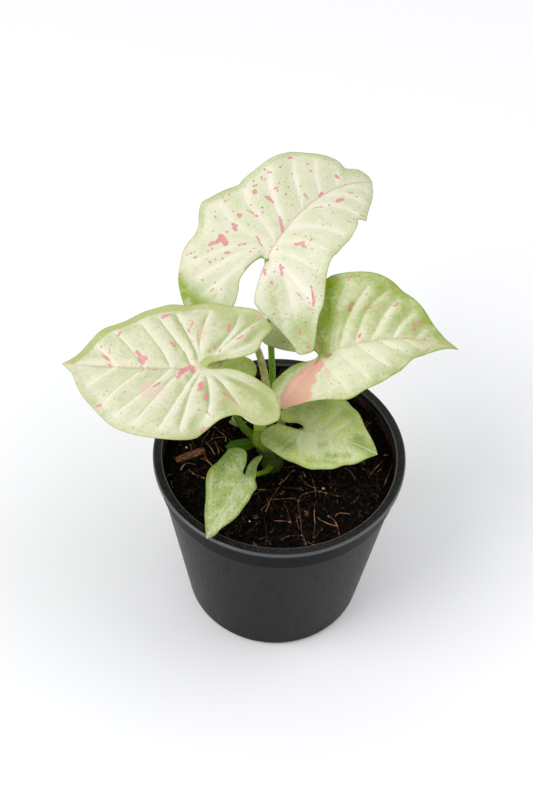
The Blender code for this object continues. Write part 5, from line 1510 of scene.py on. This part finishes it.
# %% Crumbs on the bed
def ground_disc(name, reach, steps=40):
    """A coarse copy of the soil's top for the scatter to stand on."""
    points, faces = [], []
    for a in range(steps + 1):
        for b in range(steps + 1):
            x, y = (2 * a / steps - 1) * reach, (2 * b / steps - 1) * reach
            points.append((x * MM, y * MM, soil_height(x, y, fine=False) * MM))
    for a in range(steps):
        for b in range(steps):
            corner = a * (steps + 1) + b
            four = (corner, corner + steps + 1, corner + steps + 2, corner + 1)
            if all(Vector(points[k][:2]).length < reach * MM for k in four):
                faces.append(four)
    mesh = bpy.data.meshes.new(name)
    mesh.from_pydata(points, [], faces)
    return mesh


def scatter(name, finish, reach, **values):
    """Loose lumps of one finish over the soil, as far out as reach."""
    obj = new_object(name, ground_disc(name, reach))
    run_tree(obj, scatter_tree, dict(values, Finish=finish))
    register(obj, "soil_peat")


scatter("soil_crumbs", CRUMB, 45.0, Density=620000.0, Seed=4, Smallest=0.25, Largest=1.35, Rarity=2.5,
        Flatness=0.75, Ragged=0.8)
scatter("peat_clods", CRUMB, 43.0, Density=16000.0, Seed=12, Smallest=0.9, Largest=2.1, Rarity=2.0,
        Flatness=0.6, Ragged=1.3, Fineness=2)
scatter("bark_chips", FLAKE, 42.0, Density=12000.0, Seed=9, Smallest=0.35, Largest=1.0, Rarity=2.0,
        Flatness=0.35, Length=2.6, Ragged=0.45, Fineness=2)
scatter("pale_grit", PEARL, 40.0, Density=3000.0, Seed=21, Smallest=0.25, Largest=0.75, Rarity=2.0,
        Flatness=0.6, Ragged=0.7)

# %% [markdown]
# ## Coir fibres
# The long fibres that the photograph shows were read on three enlarged cuts of it, and stand here as
# they were read. The camera carries each point down to the soil's height, and the line is draped over the
# soil. Many more short ones fill the surface: each starts somewhere, runs a little way and curls, and lifts
# off the soil in its middle. All of them are swept by the same tree as the stalks.

# %% Traced and scattered fibres
SOIL_CUTS = {  # the cut's left and top edge in the photo's pixels, and how many times it was enlarged
    "front": (255, 462, 9.09), "left": (160, 400, 12.5), "right": (320, 380, 10.87)}
FIBRES = {  # each fibre's radius in millimetres, and its points in the cut's pixels
    "front": [
        (0.3, [(825, 297), (740, 292), (660, 280), (600, 265), (540, 258), (480, 270), (420, 305), (395, 350),
               (395, 420), (410, 500), (420, 570), (430, 640), (470, 740)]),
        (0.26, [(480, 70), (510, 120), (530, 180), (548, 240), (555, 310)]),
        (0.26, [(225, 200), (180, 270), (150, 330), (120, 400), (90, 460)]),
        (0.24, [(60, 370), (150, 352), (260, 330), (380, 312)]),
        (0.26, [(155, 530), (230, 532), (340, 530)]),
        (0.28, [(565, 485), (590, 520), (640, 550), (700, 565), (750, 568)]),
        (0.32, [(655, 470), (700, 505), (735, 550), (755, 600), (770, 665)]),
        (0.22, [(540, 420), (540, 500), (545, 580), (525, 680)]),
        (0.4, [(845, 45), (880, 100), (920, 160)]),
        (0.24, [(370, 50), (320, 85), (280, 140), (210, 185)]),
        (0.3, [(430, 60), (450, 110), (465, 135)]),
        (0.2, [(720, 500), (765, 458), (880, 450)]),
        (0.2, [(375, 490), (385, 550), (410, 600)]),
        (0.2, [(20, 230), (60, 240), (110, 230)]),
    ],
    "left": [
        (0.4, [(565, 500), (620, 580), (690, 680)]),
        (0.42, [(505, 705), (580, 750), (660, 810)]),
        (0.26, [(680, 490), (710, 560), (735, 640), (740, 670)]),
        (0.26, [(825, 435), (820, 510)]),
        (0.36, [(250, 885), (290, 835), (350, 795), (450, 785)]),
        (0.28, [(355, 860), (400, 910), (460, 945), (570, 970)]),
        (0.3, [(80, 950), (150, 925)]),
        (0.22, [(380, 540), (390, 600), (405, 640)]),
    ],
    "right": [
        (0.22, [(690, 800), (760, 815)]),
        (0.22, [(685, 850), (600, 960), (530, 1030)]),
        (0.24, [(790, 900), (740, 1030), (695, 1140)]),
        (0.22, [(560, 1240), (650, 1245)]),
    ],
}
FIBRE_LEVEL = 78.6                  # the soil's height where they lie
THINNER = 0.66                      # of the radius that was read
ALL_FIBRES = 130
START_WITHIN, STAY_WITHIN = 43.0, 45.2      # from the pot's axis
fibre_rng = np.random.default_rng(31)


def drape(points, radius, arch=0.0):
    """The path laid on the soil, arched up a little in its middle, with ragged thickness."""
    out = []
    for k, (x, y) in enumerate(points):
        s = k / (len(points) - 1)
        z = soil_height(x, y, fine=False) + 0.55 + arch * sin(pi * s)
        out.append((x, y, z, radius * (0.75 + 0.35 * sin(pi * s) + 0.1 * sin(9 * s))))
    return out


strands = []
for cut, (left, top, enlarged) in SOIL_CUTS.items():
    for radius, readings in FIBRES[cut]:
        pixels = [(left + x / enlarged, top + y / enlarged) for x, y in readings]
        points = [on_level(pixel, FIBRE_LEVEL)[:2] for pixel in pixels]
        strands.append(drape(even(smooth_path(points, 4), 1.2), THINNER * radius, 0.8))
while len(strands) < ALL_FIBRES:
    reach, spot = START_WITHIN * np.sqrt(fibre_rng.random()), fibre_rng.uniform(0, 2 * pi)
    heading, bend, length = fibre_rng.uniform(0, 2 * pi), fibre_rng.normal(0, 0.09), fibre_rng.uniform(3, 13)
    x, y = reach * cos(spot), reach * sin(spot)
    path = [(x, y)]
    while len(path) < length:
        heading += bend + fibre_rng.normal(0, 0.1)
        x, y = x + cos(heading), y + sin(heading)
        path.append((x, y))
    if max(Vector(p).length for p in path) < STAY_WITHIN:
        strands.append(drape(path, fibre_rng.uniform(0.04, 0.085), fibre_rng.uniform(0, 1.2)))
fibres = strand("coir_fibres", strands, COIR, sides=6, ribs=2.0, rib_depth=0.1, groove=0.0)
register(fibres, "soil_peat")

# %% The long chip and the folded dry sheath
def slab(name, place, turn, size, finish, seed, crumple=0.0):
    """A split piece of bark: a box cut finer, pushed about by noise that runs with its grain."""
    noise.seed_set(5)               # without it, noise_vector draws its offsets from the clock
    work = bmesh.new()
    bmesh.ops.create_cube(work, size=1.0)
    bmesh.ops.subdivide_edges(work, edges=work.edges, cuts=5, use_grid_fill=True)
    for vert in work.verts:
        x, y, z = vert.co
        vert.co.z = z * (1 - 1.2 * y * y) + 0.12 * noise.noise(Vector((x * 2, y * 5, z * 3 + seed)))
        vert.co.y = y * (1 - 1.1 * x * x) + 0.14 * noise.noise(Vector((x * 4, z * 2, seed)))
        vert.co.x = x + 0.07 * noise.noise(Vector((y * 6, z * 6, seed)))
        vert.co += crumple * noise.noise_vector(Vector((x * 3.5 + seed, y * 3.5, z * 2)))
    bmesh.ops.recalc_face_normals(work, faces=work.faces)
    mesh = bpy.data.meshes.new(name)
    work.to_mesh(mesh)
    work.free()
    grain = [c * k for vert in mesh.vertices for c, k in zip(vert.co, (0.004, 0.009, 0.009))]
    mesh.attributes.new("grain", "FLOAT_VECTOR", "POINT").data.foreach_set("vector", grain)
    move = Matrix.Translation(Vector(place) * MM) @ Matrix.Rotation(radians(turn), 4, "Z")
    mesh.transform(move @ Matrix.Diagonal((*(Vector(size) * MM), 1.0)))
    mesh.materials.append(finish)
    mesh.shade_smooth()
    return new_object(name, mesh)


register(slab("long_chip", (-35.5, 1.6, 78.2), 28, (12.5, 3.2, 1.4), BARK, 2.0), "soil_peat")
register(slab("dry_sheath", (-17.4, 18.6, 79.4), -25, (4.6, 2.6, 2.0), HUSK, 5.0, 0.6), "soil_peat")
